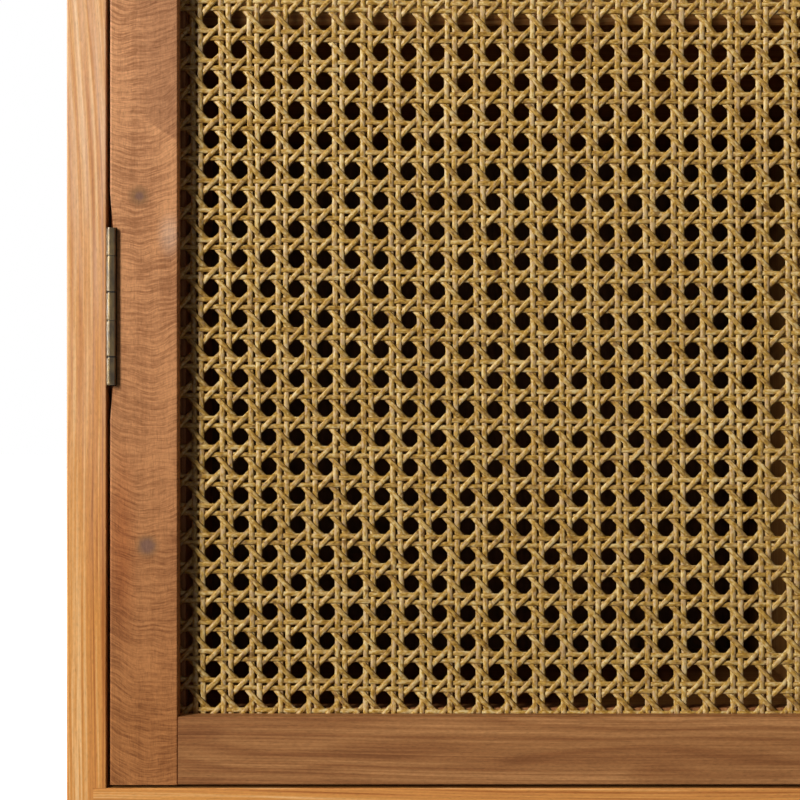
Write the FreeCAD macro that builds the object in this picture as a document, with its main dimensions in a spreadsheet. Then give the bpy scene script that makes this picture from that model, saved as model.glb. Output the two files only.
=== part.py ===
import FreeCAD, Part

import os
import re

import Sketcher

# Record cabinet: a solid wood case on a low stand, with two inset doors framed round woven cane.
# Right-handed frame in millimetres: +X to the right, +Y to the back, +Z up. The origin is on the
# floor, under the middle of the whole object, knobs included. The cabinet is the same on both
# sides of X = 0, so the left half is modelled and the right half is mirrored from it.

DRIVING_DIMENSIONS = [
    # case
    ("caseWidth", 800, "over the two side panels"),
    ("caseDepth", 400, "front edge to back edge of a side panel"),
    ("boardThickness", 18, "sides, floor, partition and shelves"),
    ("topThickness", 22, "top panel"),
    ("topOverhang", 8, "top panel past the sides and past the front"),
    ("topRound", 3, "rounding of the top panel's upper edge"),
    ("edgeRound", 0.8, "eased arrises of boards and door frames"),
    ("housingDepth", 6, "how far shelves, floor and partition are let in"),
    ("shelfSetback", 5, "closed door to shelf"),
    ("backThickness", 6, "plywood back panels"),
    ("backRabbetWidth", 9, "rabbet of a side panel that takes the back"),
    ("backSeam", 0.5, "between the two back panels"),
    ("cablePortRadius", 25, "hole through a back panel"),
    ("cablePortHeight", 70, "port centre above the shelf"),
    # doors
    ("doorHeight", 712, "over the rails"),
    ("doorGap", 1.5, "all round a closed door, and between the doors"),
    ("doorThickness", 20, "stiles and rails"),
    ("stopClearance", 0.6, "closed door to partition"),
    ("stileWidth", 30.5, "hinge stile and meeting stile"),
    ("railWidth", 30.5, "top rail and bottom rail"),
    ("lipDepth", 8, "front lip of the frame, before the cane"),
    ("caneRabbetWidth", 9, "rabbet behind the lip"),
    ("caneThickness", 2.4, "woven sheet"),
    ("caneMargin", 0.5, "cane edge to rabbet wall"),
    ("caneGridPitch", 39.5, "between two openings of the sheet"),
    ("caneGridOpening", 20, "side of an opening"),
    ("beadThickness", 9, "retaining bead behind the cane"),
    ("beadProud", 2, "bead past the inner edge of the lip"),
    ("tenonLength", 15, "rail tenon in a stile"),
    ("tenonThickness", 7, "rail tenon"),
    ("tenonShoulder", 2.5, "rail tenon below the faces round it"),
    # hinges
    ("hingeLength", 70.5, "five knuckles and the play between them"),
    ("hingeInset", 179.5, "hinge end to door end"),
    ("barrelRadius", 2.2, "outside of a knuckle"),
    ("barrelProud", 0.8, "pin centre in front of the door face"),
    ("hingePinRadius", 1.1, "hinge pin"),
    ("pinPlay", 0.06, "radial play in the door leaf's knuckles"),
    ("endKnuckle", 12.5, "each of the frame leaf's three knuckles"),
    ("knucklePlay", 0.3, "between two knuckles"),
    ("leafThickness", 1.2, "hinge leaf"),
    ("leafWidth", 17, "pin centre to leaf edge"),
    ("leafRelief", 0.3, "leaf edge to the other leaf's knuckles"),
    ("leafScrewInset", 9, "end screw to leaf end"),
    ("leafScrewRow", 10, "screw row to pin centre"),
    ("mortisePlay", 0.3, "hinge mortise past the leaf"),
    ("barrelRelief", 0.4, "hinge mortise past the barrel"),
    ("easingLength", 16, "tapered easing of the stile beyond each hinge end"),
    ("easingDepth", 1.4, "easing at the hinge end"),
    ("easingReach", 4, "easing from the door face backwards"),
    # screws, dowels and knobs
    ("hingeScrewLength", 13, "countersunk wood screw"),
    ("hingeScrewRadius", 1.3, "core of the hinge screw"),
    ("hingeScrewHead", 2.6, "head radius"),
    ("backScrewLength", 20, "countersunk wood screw"),
    ("backScrewRadius", 1.6, "core of the back screw"),
    ("backScrewHead", 3.4, "head radius"),
    ("standScrewLength", 32, "countersunk wood screw"),
    ("standScrewRadius", 2.2, "core of the stand screw"),
    ("standScrewHead", 4.4, "head radius"),
    ("catchScrewLength", 10, "countersunk wood screw"),
    ("catchScrewRadius", 1.1, "core of the catch screw"),
    ("catchScrewHead", 2.3, "head radius"),
    ("dowelRadius", 4, "top panel dowels"),
    ("dowelLength", 30, "half in the top panel's side, half below"),
    ("dowelInTop", 14, "part of a dowel inside the top panel"),
    ("dowelSetback", 60, "end dowel to the front and the back"),
    ("knobProjection", 24, "knob face to door face"),
    ("knobRadius", 10, "knob head"),
    ("knobHeadDepth", 9, "knob head"),
    ("knobNeckRadius", 4.2, "neck"),
    ("knobFootRadius", 7, "foot on the door"),
    ("knobFootDepth", 2.5, "foot on the door"),
    ("knobHeight", 356, "knob above the door's lower end"),
    ("knobScrewRadius", 2, "machine screw"),
    ("knobScrewBite", 11, "machine screw inside the knob"),
    ("knobScrewHeadRadius", 4, "pan head"),
    ("knobScrewHeadDepth", 2.4, "pan head"),
    # magnetic catches
    ("catchLength", 46, "catch body along the front"),
    ("catchDepth", 15, "catch body front to back"),
    ("catchHeight", 13, "catch body below the top panel"),
    ("catchOffset", 62, "catch centre from the middle of the case"),
    ("catchAir", 0.4, "catch to strike plate"),
    ("magnetLength", 24, "magnet in the catch body"),
    ("magnetDepth", 8, "magnet front to back"),
    ("magnetHeight", 8, "magnet"),
    ("strikeLength", 34, "strike plate on the door"),
    ("strikeHeight", 14, "strike plate"),
    ("strikeThickness", 1, "strike plate"),
    ("strikeInset", 3, "strike plate to the door's upper end"),
    # stand
    ("standHeight", 120, "floor to the underside of the case"),
    ("legTop", 36, "leg section under the case"),
    ("legFoot", 24, "leg section at the glide"),
    ("legInset", 14, "leg to the case's faces"),
    ("legRound", 2, "eased leg arrises"),
    ("legBlock", 50, "straight part of a leg, beside the aprons"),
    ("apronHeight", 45, "aprons"),
    ("apronThickness", 20, "aprons and cross rail"),
    ("apronSetback", 4, "apron behind the leg's outer face"),
    ("apronTenon", 12, "apron tenon in a leg"),
    ("apronTenonThickness", 8, "apron tenon"),
    ("apronTenonShoulder", 6, "apron tenon above and below"),
    ("cornerBlock", 60, "triangular corner block along each apron"),
    ("cornerBlockHeight", 22, "corner block"),
    ("glideRadius", 9, "glide under a leg"),
    ("glideHeight", 4, "glide under a leg"),
    ("glideNailRadius", 1.2, "glide nail"),
    ("glideNailLength", 14, "glide nail in the leg"),
]

doc = FreeCAD.newDocument("record_cabinet")
sheet = doc.addObject("Spreadsheet::Sheet", "dims")
for row, (alias, value, note) in enumerate(DRIVING_DIMENSIONS, start=1):
    sheet.set(f"A{row}", str(value))
    sheet.setAlias(f"A{row}", alias)
    sheet.set(f"B{row}", note)
doc.recompute()

ALIASES = re.compile(r"\b(" + "|".join(alias for alias, _, _ in DRIVING_DIMENSIONS) + r")\b")
pieces = []


# ---- expressions ---------------------------------------------------------------------------


def from_sheet(text):
    """The expression with each dimension named as the spreadsheet's."""
    return ALIASES.sub(r"dims.\1", str(text))


def number(text):
    """What an expression comes to, in millimetres."""
    return float(sheet.evalExpression(from_sheet(text)))


def tie(thing, prop, text):
    """Binds a property to an expression of driving dimensions."""
    thing.setExpression(prop, from_sheet(text))


def place(thing, x="0", y="0", z="0", turn=None):
    """Ties a piece's place, and turns it by (axis, degrees) about its own origin."""
    if turn:
        axis, degrees = turn
        thing.Placement = FreeCAD.Placement(
            FreeCAD.Vector(), FreeCAD.Rotation(FreeCAD.Vector(*axis), degrees)
        )
    tie(thing, "Placement.Base.x", x)
    tie(thing, "Placement.Base.y", y)
    tie(thing, "Placement.Base.z", z)
    return thing


# Planes and places that several pieces share, as expressions.
half = "(caseWidth/2)"
side_inner = "(caseWidth/2 - boardThickness)"
front = "((knobProjection - caseDepth)/2)"
back = f"({front} + caseDepth)"
back_inner = f"({back} - backThickness)"
partition_front = f"({front} + doorThickness + stopClearance)"
shelf_front = f"({front} + doorThickness + shelfSetback)"
floor_top = "(standHeight + boardThickness)"
opening = "(doorHeight + 2*doorGap)"
ceiling = f"({floor_top} + {opening})"
shelf_under = f"({floor_top} + ({opening} - boardThickness)/2)"
shelf_top = f"({shelf_under} + boardThickness)"
door_left = f"(doorGap - {side_inner})"
door_right = "(-doorGap/2)"
door_low = f"({floor_top} + doorGap)"
door_high = f"({door_low} + doorHeight)"
door_back = f"({front} + doorThickness)"
pin_x = f"(barrelRadius - {side_inner})"
pin_y = f"({front} - barrelProud)"
long_knuckle = "((hingeLength - 3*endKnuckle - 4*knucklePlay)/2)"
hinge_lows = [f"({door_low} + hingeInset)", f"({door_high} - hingeInset - hingeLength)"]
bay_middle = f"(-({side_inner} + boardThickness/2)/2)"


# ---- shapes --------------------------------------------------------------------------------


def box(name, x, y, z):
    """A box. x, y and z are each (start, size)."""
    made = doc.addObject("Part::Box", name)
    for prop, (_, size) in zip(("Length", "Width", "Height"), (x, y, z)):
        tie(made, prop, size)
    return place(made, x[0], y[0], z[0])


def rod(name, radius, length, x, y, z, turn=None):
    """A cylinder from (x, y, z), along +Z unless it is turned."""
    made = doc.addObject("Part::Cylinder", name)
    tie(made, "Radius", radius)
    tie(made, "Height", length)
    return place(made, x, y, z, turn)


def outline(body, name, plane, points):
    """A closed sketch of straight lines on one of the body's own planes, every corner tied."""
    sketch = body.newObject("Sketcher::SketchObject", name)
    role = f"{plane}_Plane"
    sketch.AttachmentSupport = [next(f for f in body.Origin.OriginFeatures if f.Role == role)]
    sketch.MapMode = "FlatFace"
    corners = [FreeCAD.Vector(number(u), number(v), 0) for u, v in points]
    for i, corner in enumerate(corners):
        sketch.addGeometry(Part.LineSegment(corner, corners[(i + 1) % len(corners)]))
    for i in range(len(corners)):
        sketch.addConstraint(Sketcher.Constraint("Coincident", i, 2, (i + 1) % len(corners), 1))
    for i, place_in_sketch in enumerate(points):
        for kind, axis, text in zip(("DistanceX", "DistanceY"), (-2, -1), place_in_sketch):
            if text == "0":
                sketch.addConstraint(Sketcher.Constraint("PointOnObject", i, 1, axis))
                continue
            found = sketch.addConstraint(Sketcher.Constraint(kind, -1, 1, i, 1, number(text)))
            tie(sketch, f"Constraints[{found}]", text)
    return sketch


def turned_body(name, points):
    """A body turned about its own Z axis from a half profile of (radius, height) corners."""
    body = doc.addObject("PartDesign::Body", name)
    profile = outline(body, f"{name}_profile", "XZ", points)
    turning = body.newObject("PartDesign::Revolution", f"{name}_turning")
    turning.Profile = profile
    turning.ReferenceAxis = (profile, ["V_Axis"])
    turning.Angle = 360
    return body


def padded_body(name, plane, points, length):
    """A body padded from an outline, from its plane towards the plane's positive side."""
    body = doc.addObject("PartDesign::Body", name)
    profile = outline(body, f"{name}_profile", plane, points)
    pad = body.newObject("PartDesign::Pad", f"{name}_pad")
    pad.Profile = profile
    pad.Reversed = plane == "XZ"
    tie(pad, "Length", length)
    return body


def eased(name, blank, roundings):
    """The blank with edges rounded. Each rounding is (radius, direction, {axis: place}): it takes
    every straight edge along that direction whose middle lies at the given places."""
    body = doc.addObject("PartDesign::Body", name)
    body.BaseFeature = blank
    for path, text in blank.ExpressionEngine:
        if "Placement" in path:
            body.setExpression(path, text)
    doc.recompute()
    for count, (radius, direction, wheres) in enumerate(roundings):
        tip = body.Tip
        chosen = [
            f"Edge{i}"
            for i, edge in enumerate(tip.Shape.Edges, start=1)
            if runs_along(edge, direction)
            and any(lies_at(body.Placement.multVec(edge.CenterOfMass), where) for where in wheres)
        ]
        if not chosen:
            raise RuntimeError(f"{name}: no edge along {direction} at {wheres}")
        fillet = body.newObject("PartDesign::Fillet", f"{name}_round{count}")
        fillet.Base = (tip, chosen)
        tie(fillet, "Radius", radius)
        doc.recompute()
    return body


def runs_along(edge, direction):
    """True for a straight edge in that direction."""
    if len(edge.Vertexes) < 2:
        return False
    span = edge.Vertexes[-1].Point - edge.Vertexes[0].Point
    return edge.Length < span.Length + 1e-6 and abs(getattr(span, direction)) > 0.999 * edge.Length


def lies_at(middle, where):
    """True if a point is at the places given."""
    return all(abs(getattr(middle, axis) - number(text)) < 0.01 for axis, text in where.items())


def joined(name, parts):
    """Several solids made one."""
    made = doc.addObject("Part::MultiFuse", name)
    made.Shapes = parts
    made.Refine = True
    return made


def group(name, parts):
    """Several solids kept apart in one object."""
    made = doc.addObject("Part::Compound", name)
    made.Links = parts
    return made


def cut(name, base, tools):
    """The base less the tools."""
    made = doc.addObject("Part::Cut", name)
    made.Base = base
    made.Tool = tools[0] if len(tools) == 1 else joined(f"{name}_tools", tools)
    return made


def mirrored(source):
    """The mirror image on the other side of the middle of the case."""
    made = doc.addObject("Part::Mirroring", f"{source.Name}_mirrored")
    made.Source = source
    made.Normal = (1, 0, 0)
    return made


def piece(made, label):
    """Names a finished sub-part and lists it for export."""
    made.Label = label
    pieces.append(made)
    return made


def both_sides(made, label):
    """Lists a left sub-part, and its mirror image as one of its own."""
    piece(made, label)
    piece(mirrored(made), label.replace("left", "right"))
    return made


def shared(made, label):
    """Lists the fasteners of both sides as one sub-part of separate solids."""
    return piece(group(f"{made.Name}_shared", [made, mirrored(made)]), label)


# ---- screws --------------------------------------------------------------------------------

INTO_LEFT = ((0, 1, 0), 90)
INTO_RIGHT = ((0, 1, 0), -90)
INTO_FRONT = ((1, 0, 0), -90)
UPWARDS = ((1, 0, 0), 180)


def screw_pattern(kind):
    """A countersunk wood screw with its head's face at the origin and its tip down, as (the hole
    that it fills, the screw with its driver slot)."""
    head, core, length = f"{kind}ScrewHead", f"{kind}ScrewRadius", f"{kind}ScrewLength"
    sink = f"({head} - {core})"
    tip = f"(2*{core})"
    profile = [
        ("0", "0"),
        (head, "0"),
        (core, f"-{sink}"),
        (core, f"-({length} - {tip})"),
        ("0", f"-{length}"),
    ]
    blank = turned_body(f"{kind}_screw_blank", profile)
    slot_width, slot_depth = f"({head}/4)", f"({sink}/2)"
    slot = box(
        f"{kind}_screw_slot",
        (f"-{head}", f"2*{head}"),
        (f"-{slot_width}/2", slot_width),
        (f"-{slot_depth}", f"2*{slot_depth}"),
    )
    return blank, cut(f"{kind}_screw", blank, [slot])


def screws(name, pattern, turn, places):
    """Screws at each (x, y, z), as (their holes, the screws), each a group of separate solids."""
    sets = []
    for suffix, source in zip(("holes", "set"), pattern):
        links = []
        for i, (x, y, z) in enumerate(places):
            link = doc.addObject("App::Link", f"{name}_{suffix}{i}")
            link.LinkedObject = source
            links.append(place(link, x, y, z, turn))
        sets.append(group(f"{name}_{suffix}", links))
    return sets


hinge_screw = screw_pattern("hinge")
back_screw = screw_pattern("back")
stand_screw = screw_pattern("stand")
catch_screw = screw_pattern("catch")


# ---- hinges --------------------------------------------------------------------------------


def knuckle_spans(low):
    """The five knuckles of a hinge from its lower end, as (start, length)."""
    lengths = ["endKnuckle", long_knuckle, "endKnuckle", long_knuckle, "endKnuckle"]
    spans = []
    start = low
    for length in lengths:
        spans.append((start, length))
        start = f"({start} + {length} + knucklePlay)"
    return spans


def hinge_leaf(name, low, leaf_x, spans, bore):
    """A leaf: a plate in the plane X = leaf_x, rolled into knuckles on the given spans."""
    plate_start = "(barrelRadius + leafRelief)"
    parts = [
        box(
            f"{name}_plate",
            (leaf_x, "leafThickness"),
            (f"{pin_y} + {plate_start}", f"leafWidth - {plate_start}"),
            (low, "hingeLength"),
        )
    ]
    for i, (start, length) in enumerate(spans):
        strap = (pin_y, f"{plate_start} + leafThickness/2")
        parts.append(box(f"{name}_strap{i}", (leaf_x, "leafThickness"), strap, (start, length)))
        parts.append(rod(f"{name}_knuckle{i}", "barrelRadius", length, pin_x, pin_y, start))
    hole = rod(f"{name}_pin_hole", bore, "hingeLength + 2", pin_x, pin_y, f"{low} - 1")
    return cut(f"{name}_bored", joined(f"{name}_solid", parts), [hole])


def hinges():
    """Both hinges of the left door. Returns the screw holes in the side and in the stile."""
    frame_leaf_x = f"(-{side_inner})"
    door_leaf_x = f"({pin_x} + barrelRadius - leafThickness)"
    row = f"({pin_y} + leafScrewRow)"
    heights = []
    for low in hinge_lows:
        heights += [
            f"({low} + leafScrewInset)",
            f"({low} + hingeLength/2)",
            f"({low} + hingeLength - leafScrewInset)",
        ]
    frame_places = [(f"({frame_leaf_x} + leafThickness)", row, z) for z in heights]
    door_places = [(door_leaf_x, row, z) for z in heights]
    frame_holes, frame_screws = screws("frame_leaf", hinge_screw, INTO_LEFT, frame_places)
    door_holes, door_screws = screws("door_leaf", hinge_screw, INTO_RIGHT, door_places)

    frame_leaves, door_leaves, pins = [], [], []
    for i, low in enumerate(hinge_lows):
        spans = knuckle_spans(low)
        frame_leaves.append(
            hinge_leaf(f"frame_leaf{i}", low, frame_leaf_x, spans[0::2], "hingePinRadius")
        )
        door_leaves.append(
            hinge_leaf(f"door_leaf{i}", low, door_leaf_x, spans[1::2], "hingePinRadius + pinPlay")
        )
        pins.append(rod(f"hinge_pin{i}", "hingePinRadius", "hingeLength", pin_x, pin_y, low))
    frame_set = cut("frame_leaves", group("frame_leaves_plain", frame_leaves), [frame_holes])
    door_set = cut("door_leaves", group("door_leaves_plain", door_leaves), [door_holes])
    both_sides(frame_set, "left_hinge_frame_leaves")
    both_sides(door_set, "left_hinge_door_leaves")
    both_sides(group("hinge_pins", pins), "left_hinge_pins")
    both_sides(frame_screws, "left_hinge_frame_screws")
    both_sides(door_screws, "left_hinge_door_screws")
    return frame_holes, door_holes


# ---- doors ---------------------------------------------------------------------------------

rabbet_left = f"({door_left} + stileWidth - caneRabbetWidth)"
rabbet_right = f"({door_right} - stileWidth + caneRabbetWidth)"
rabbet_low = f"({door_low} + railWidth - caneRabbetWidth)"
rabbet_high = f"({door_high} - railWidth + caneRabbetWidth)"
lip_back = f"({front} + lipDepth)"
cane_back = f"({lip_back} + caneThickness)"
knob_x = f"({door_right} - stileWidth/2)"
knob_z = f"({door_low} + knobHeight)"


def door_stile(name, x, inwards):
    """A stile with the cane rabbet on its inner side. inwards is 1 or -1 along X."""
    wall = "(stileWidth - caneRabbetWidth)"
    section = [
        ("0", "0"),
        (f"{inwards}*stileWidth", "0"),
        (f"{inwards}*stileWidth", "lipDepth"),
        (f"{inwards}*{wall}", "lipDepth"),
        (f"{inwards}*{wall}", "doorThickness"),
        ("0", "doorThickness"),
    ]
    blank = place(padded_body(f"{name}_blank", "XY", section, "doorHeight"), x, front, door_low)
    arrises = [
        {"x": x, "y": front},
        {"x": f"{x} + {inwards}*stileWidth", "y": front},
        {"x": x, "y": door_back},
    ]
    return eased(f"{name}_eased", blank, [("edgeRound", "z", arrises)])


def tenon_box(name, x, z):
    """A tenon, or the mortise that it fills."""
    return box(name, x, (f"{lip_back} + tenonShoulder", "tenonThickness"), z)


def tenon_spans():
    """The heights of the tenons of the bottom rail and of the top rail, as (start, size)."""
    height = "(railWidth - caneRabbetWidth - 2*tenonShoulder)"
    return [(f"{door_low} + tenonShoulder", height), (f"{rabbet_high} + tenonShoulder", height)]


def door_rail(name, low, solid_low, lip_edge, tenon):
    """A rail: a full-width lip between the stiles, a thicker outer part let into the stiles'
    rabbets, and a tenon at each end. lip_edge is the height of the lip's edge at the cane."""
    lip_x = (f"{door_left} + stileWidth", f"{door_right} - {door_left} - 2*stileWidth")
    solid_x = (rabbet_left, f"{rabbet_right} - {rabbet_left}")
    tenon_x = (f"{rabbet_left} - tenonLength", f"{rabbet_right} - {rabbet_left} + 2*tenonLength")
    blank = joined(
        f"{name}_blank",
        [
            box(f"{name}_lip", lip_x, (front, "lipDepth"), (low, "railWidth")),
            box(
                f"{name}_solid",
                solid_x,
                (lip_back, "doorThickness - lipDepth"),
                (solid_low, "railWidth - caneRabbetWidth"),
            ),
            tenon_box(f"{name}_tenons", tenon_x, tenon),
        ],
    )
    arrises = [{"y": front, "z": lip_edge}, {"y": front, "z": f"2*{low} + railWidth - {lip_edge}"}]
    return eased(f"{name}_eased", blank, [("edgeRound", "x", arrises)])


def hinge_mortises():
    """Mortises for the closed hinges in the hinge stile's edge, with tapered easings."""
    edge = f"({door_left} - 1)"
    depth = "(2*barrelRadius - doorGap)"
    tools = []
    for i, low in enumerate(hinge_lows):
        start, size = f"({low} - mortisePlay)", "(hingeLength + 2*mortisePlay)"
        leaf_depth = (f"{front} - 1", "1 - barrelProud + leafWidth + mortisePlay")
        tools.append(box(f"leaf_mortise{i}", (edge, f"1 + {depth}"), leaf_depth, (start, size)))
        barrel_reach = (f"{front} - 1", "1 + barrelRadius - barrelProud + leafRelief")
        barrel_width = (edge, f"1 + {depth} + barrelRelief")
        tools.append(box(f"barrel_mortise{i}", barrel_width, barrel_reach, (start, size)))
        profile = [
            ("0", "-easingLength"),
            ("easingDepth", "0"),
            ("easingDepth", size),
            ("0", f"{size} + easingLength"),
            ("-1", f"{size} + easingLength"),
            ("-1", "-easingLength"),
        ]
        easing = padded_body(f"easing{i}", "XZ", profile, "easingReach + 1")
        tools.append(place(easing, door_left, f"{front} - 1", start))
    return tools


def door_frame(door_holes, strike_holes, knob_screw_hole):
    """Stiles and rails of the left door."""
    mortises = []
    for i, span in enumerate(tenon_spans()):
        for side, x in (("hinge", f"{rabbet_left} - tenonLength"), ("meeting", rabbet_right)):
            mortises.append((side, tenon_box(f"{side}_mortise{i}", (x, "tenonLength"), span)))
    hinge_stile = door_stile("hinge_stile", door_left, 1)
    tools = hinge_mortises() + [door_holes] + [m for side, m in mortises if side == "hinge"]
    both_sides(cut("hinge_stile", hinge_stile, tools), "left_door_hinge_stile")
    meeting_stile = door_stile("meeting_stile", door_right, -1)
    tools = [knob_screw_hole] + [m for side, m in mortises if side == "meeting"]
    both_sides(cut("meeting_stile", meeting_stile, tools), "left_door_meeting_stile")
    low_tenon, high_tenon = tenon_spans()
    bottom = door_rail(
        "bottom_rail", door_low, door_low, f"({door_low} + railWidth)", low_tenon
    )
    both_sides(bottom, "left_door_bottom_rail")
    high_rail = f"({door_high} - railWidth)"
    top = door_rail("top_rail", high_rail, rabbet_high, high_rail, high_tenon)
    both_sides(cut("top_rail", top, [strike_holes]), "left_door_top_rail")


def open_sheet(name, width, height, corner):
    """A sheet with a plain grid of square openings over what the lip leaves uncovered. corner is
    the place of its lower left front corner."""
    corners = [("0", "0"), (width, "0"), (width, height), ("0", height)]
    body = place(padded_body(name, "XZ", corners, "caneThickness"), *corner)
    doc.recompute()
    solid = body.Shape.Volume
    covered = "(caneRabbetWidth - caneMargin)"
    counts = [f"floor(({size} - 2*{covered})/caneGridPitch)" for size in (width, height)]
    starts = [
        f"(({size} - ({count} - 1)*caneGridPitch - caneGridOpening)/2)"
        for size, count in zip((width, height), counts)
    ]
    ends = [f"({start} + caneGridOpening)" for start in starts]
    first = outline(
        body,
        f"{name}_opening",
        "XZ",
        [(starts[0], starts[1]), (ends[0], starts[1]), (ends[0], ends[1]), (starts[0], ends[1])],
    )
    pocket = body.newObject("PartDesign::Pocket", f"{name}_pocket")
    pocket.Profile = first
    pocket.Type = "ThroughAll"
    pocket.Reversed = False
    grid = body.newObject("PartDesign::MultiTransform", f"{name}_grid")
    grid.Originals = [pocket]
    steps = []
    for axis, count in zip(("H_Axis", "V_Axis"), counts):
        row = body.newObject("PartDesign::LinearPattern", f"{name}_{axis[0]}_row")
        row.Direction = (first, [axis])
        tie(row, "Length", f"({count} - 1)*caneGridPitch")
        tie(row, "Occurrences", count)
        steps.append(row)
    grid.Transformations = steps
    body.Tip = grid
    doc.recompute()
    opened = number(counts[0]) * number(counts[1]) * number("caneGridOpening^2*caneThickness")
    if abs(solid - body.Shape.Volume - opened) > 0.001 * opened:
        raise RuntimeError(f"{name}: the openings take {solid - body.Shape.Volume} of {opened}")
    return body


def cane_and_beads():
    """The cane sheet behind the lip, and the four beads that hold it."""
    width, height = f"({rabbet_right} - {rabbet_left})", f"({rabbet_high} - {rabbet_low})"
    corner = (f"{rabbet_left} + caneMargin", lip_back, f"{rabbet_low} + caneMargin")
    cane = open_sheet("cane", f"({width} - 2*caneMargin)", f"({height} - 2*caneMargin)", corner)
    both_sides(cane, "left_door_cane_panel")
    bead = "(caneRabbetWidth + beadProud)"
    depth = (cane_back, "beadThickness")
    uprights = [
        box(f"bead_upright{i}", (x, bead), depth, (rabbet_low, height))
        for i, x in enumerate([rabbet_left, f"{rabbet_right} - {bead}"])
    ]
    levels = [
        box(f"bead_level{i}", (f"{rabbet_left} + {bead}", f"{width} - 2*{bead}"), depth, (z, bead))
        for i, z in enumerate([rabbet_low, f"{rabbet_high} - {bead}"])
    ]
    both_sides(group("beads", uprights + levels), "left_door_cane_beads")


def knob():
    """The knob and its machine screw. Returns the screw's hole in the meeting stile."""
    head_start = "(knobProjection - knobHeadDepth)"
    profile = [
        ("0", "0"),
        ("knobFootRadius", "0"),
        ("knobFootRadius", "knobFootDepth"),
        ("knobNeckRadius", "knobFootDepth + 1.5"),
        ("knobNeckRadius", f"{head_start} - 3"),
        ("knobRadius - 1.5", head_start),
        ("knobRadius", f"{head_start} + 2"),
        ("knobRadius", "knobProjection - 4"),
        ("knobRadius - 1.2", "knobProjection - 1.6"),
        ("knobRadius - 3.8", "knobProjection"),
        ("0", "knobProjection"),
    ]
    outwards = ((1, 0, 0), 90)
    blank = place(turned_body("knob_turned", profile), knob_x, front, knob_z, outwards)
    head = "knobScrewHeadRadius"
    screw_profile = [
        ("0", "-knobScrewHeadDepth"),
        (head, "-knobScrewHeadDepth"),
        (head, "0"),
        ("knobScrewRadius", "0"),
        ("knobScrewRadius", "doorThickness + knobScrewBite"),
        ("0", "doorThickness + knobScrewBite"),
    ]
    screw = turned_body("knob_screw", screw_profile)
    place(screw, knob_x, door_back, knob_z, outwards)
    both_sides(cut("knob", blank, [screw]), "left_knob")
    both_sides(screw, "left_knob_screw")
    return screw


def catch():
    """The magnetic catch under the top panel and its strike plate on the door. Returns the screw
    holes in the top panel and in the top rail."""
    body_front = f"({door_back} + strikeThickness + catchAir)"
    body_low = f"({ceiling} - catchHeight)"
    middle_x = "(-catchOffset)"
    middle_y = f"({body_front} + catchDepth/2)"
    blank = box(
        "catch_blank",
        (f"{middle_x} - catchLength/2", "catchLength"),
        (body_front, "catchDepth"),
        (body_low, "catchHeight"),
    )
    corners = [
        {"x": f"{middle_x} - catchLength/2", "y": f"{body_front} + catchDepth"},
        {"x": f"{middle_x} + catchLength/2", "y": f"{body_front} + catchDepth"},
    ]
    shell = eased("catch_eased", blank, [("3*edgeRound", "z", corners)])
    magnet = box(
        "magnet",
        (f"{middle_x} - magnetLength/2", "magnetLength"),
        (body_front, "magnetDepth"),
        (f"{body_low} + (catchHeight - magnetHeight)/2", "magnetHeight"),
    )
    ear = "((catchLength + magnetLength)/4)"
    ear_low = f"({ceiling} - catchHeight/2)"
    ears = [(f"{middle_x} + {side}*{ear}", middle_y, ear_low) for side in (-1, 1)]
    catch_holes, catch_set = screws("catch_ear", catch_screw, UPWARDS, ears)
    wells = [
        rod(f"catch_well{i}", "catchScrewHead", "catchHeight/2 + 1", x, y, f"{body_low} - 1")
        for i, (x, y, _) in enumerate(ears)
    ]
    both_sides(cut("catch_body", shell, [magnet, catch_holes] + wells), "left_catch_body")
    both_sides(magnet, "left_catch_magnet")
    strike_z = f"({door_high} - strikeInset - strikeHeight)"
    plate = box(
        "strike_blank",
        (f"{middle_x} - strikeLength/2", "strikeLength"),
        (door_back, "strikeThickness"),
        (strike_z, "strikeHeight"),
    )
    centre = [(middle_x, f"{door_back} + strikeThickness", f"{strike_z} + strikeHeight/2")]
    strike_holes, strike_set = screws("strike", catch_screw, INTO_FRONT, centre)
    both_sides(cut("strike_plate", plate, [strike_holes]), "left_catch_strike")
    shared(catch_set, "catch_screws")
    both_sides(strike_set, "left_strike_screw")
    return catch_holes, strike_holes


# ---- case ----------------------------------------------------------------------------------


def dowels():
    """Dowels between the top panel and the sides and partition."""
    low = f"({ceiling} - dowelLength + dowelInTop)"
    rows = [(f"(-{half} + boardThickness/2)", front, back), ("0", partition_front, back_inner)]
    rows.append((f"({half} - boardThickness/2)", front, back))
    made = []
    for i, (x, first, last) in enumerate(rows):
        stations = [f"{first} + dowelSetback", f"({first} + {last})/2", f"{last} - dowelSetback"]
        for j, y in enumerate(stations):
            made.append(rod(f"dowel{i}{j}", "dowelRadius", "dowelLength", x, y, low))
    return piece(group("dowels", made), "top_dowels")


def back_screw_places():
    """Screws of the left back panel, as (x, y, z)."""
    side_row = f"(-{side_inner} - backRabbetWidth/2)"
    partition_row = "(-boardThickness/4)"
    case_height = f"({ceiling} - standHeight)"
    heights = [f"standHeight + {case_height}*{share}" for share in (0.08, 0.36, 0.64, 0.92)]
    level_rows = [f"{floor_top} - boardThickness/2", f"{shelf_under} + boardThickness/2"]
    columns = [f"{bay_middle} - caseWidth/10", f"{bay_middle} + caseWidth/10"]
    places = [(x, back, z) for x in (side_row, partition_row) for z in heights]
    places += [(x, back, z) for z in level_rows for x in columns]
    return places


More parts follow.
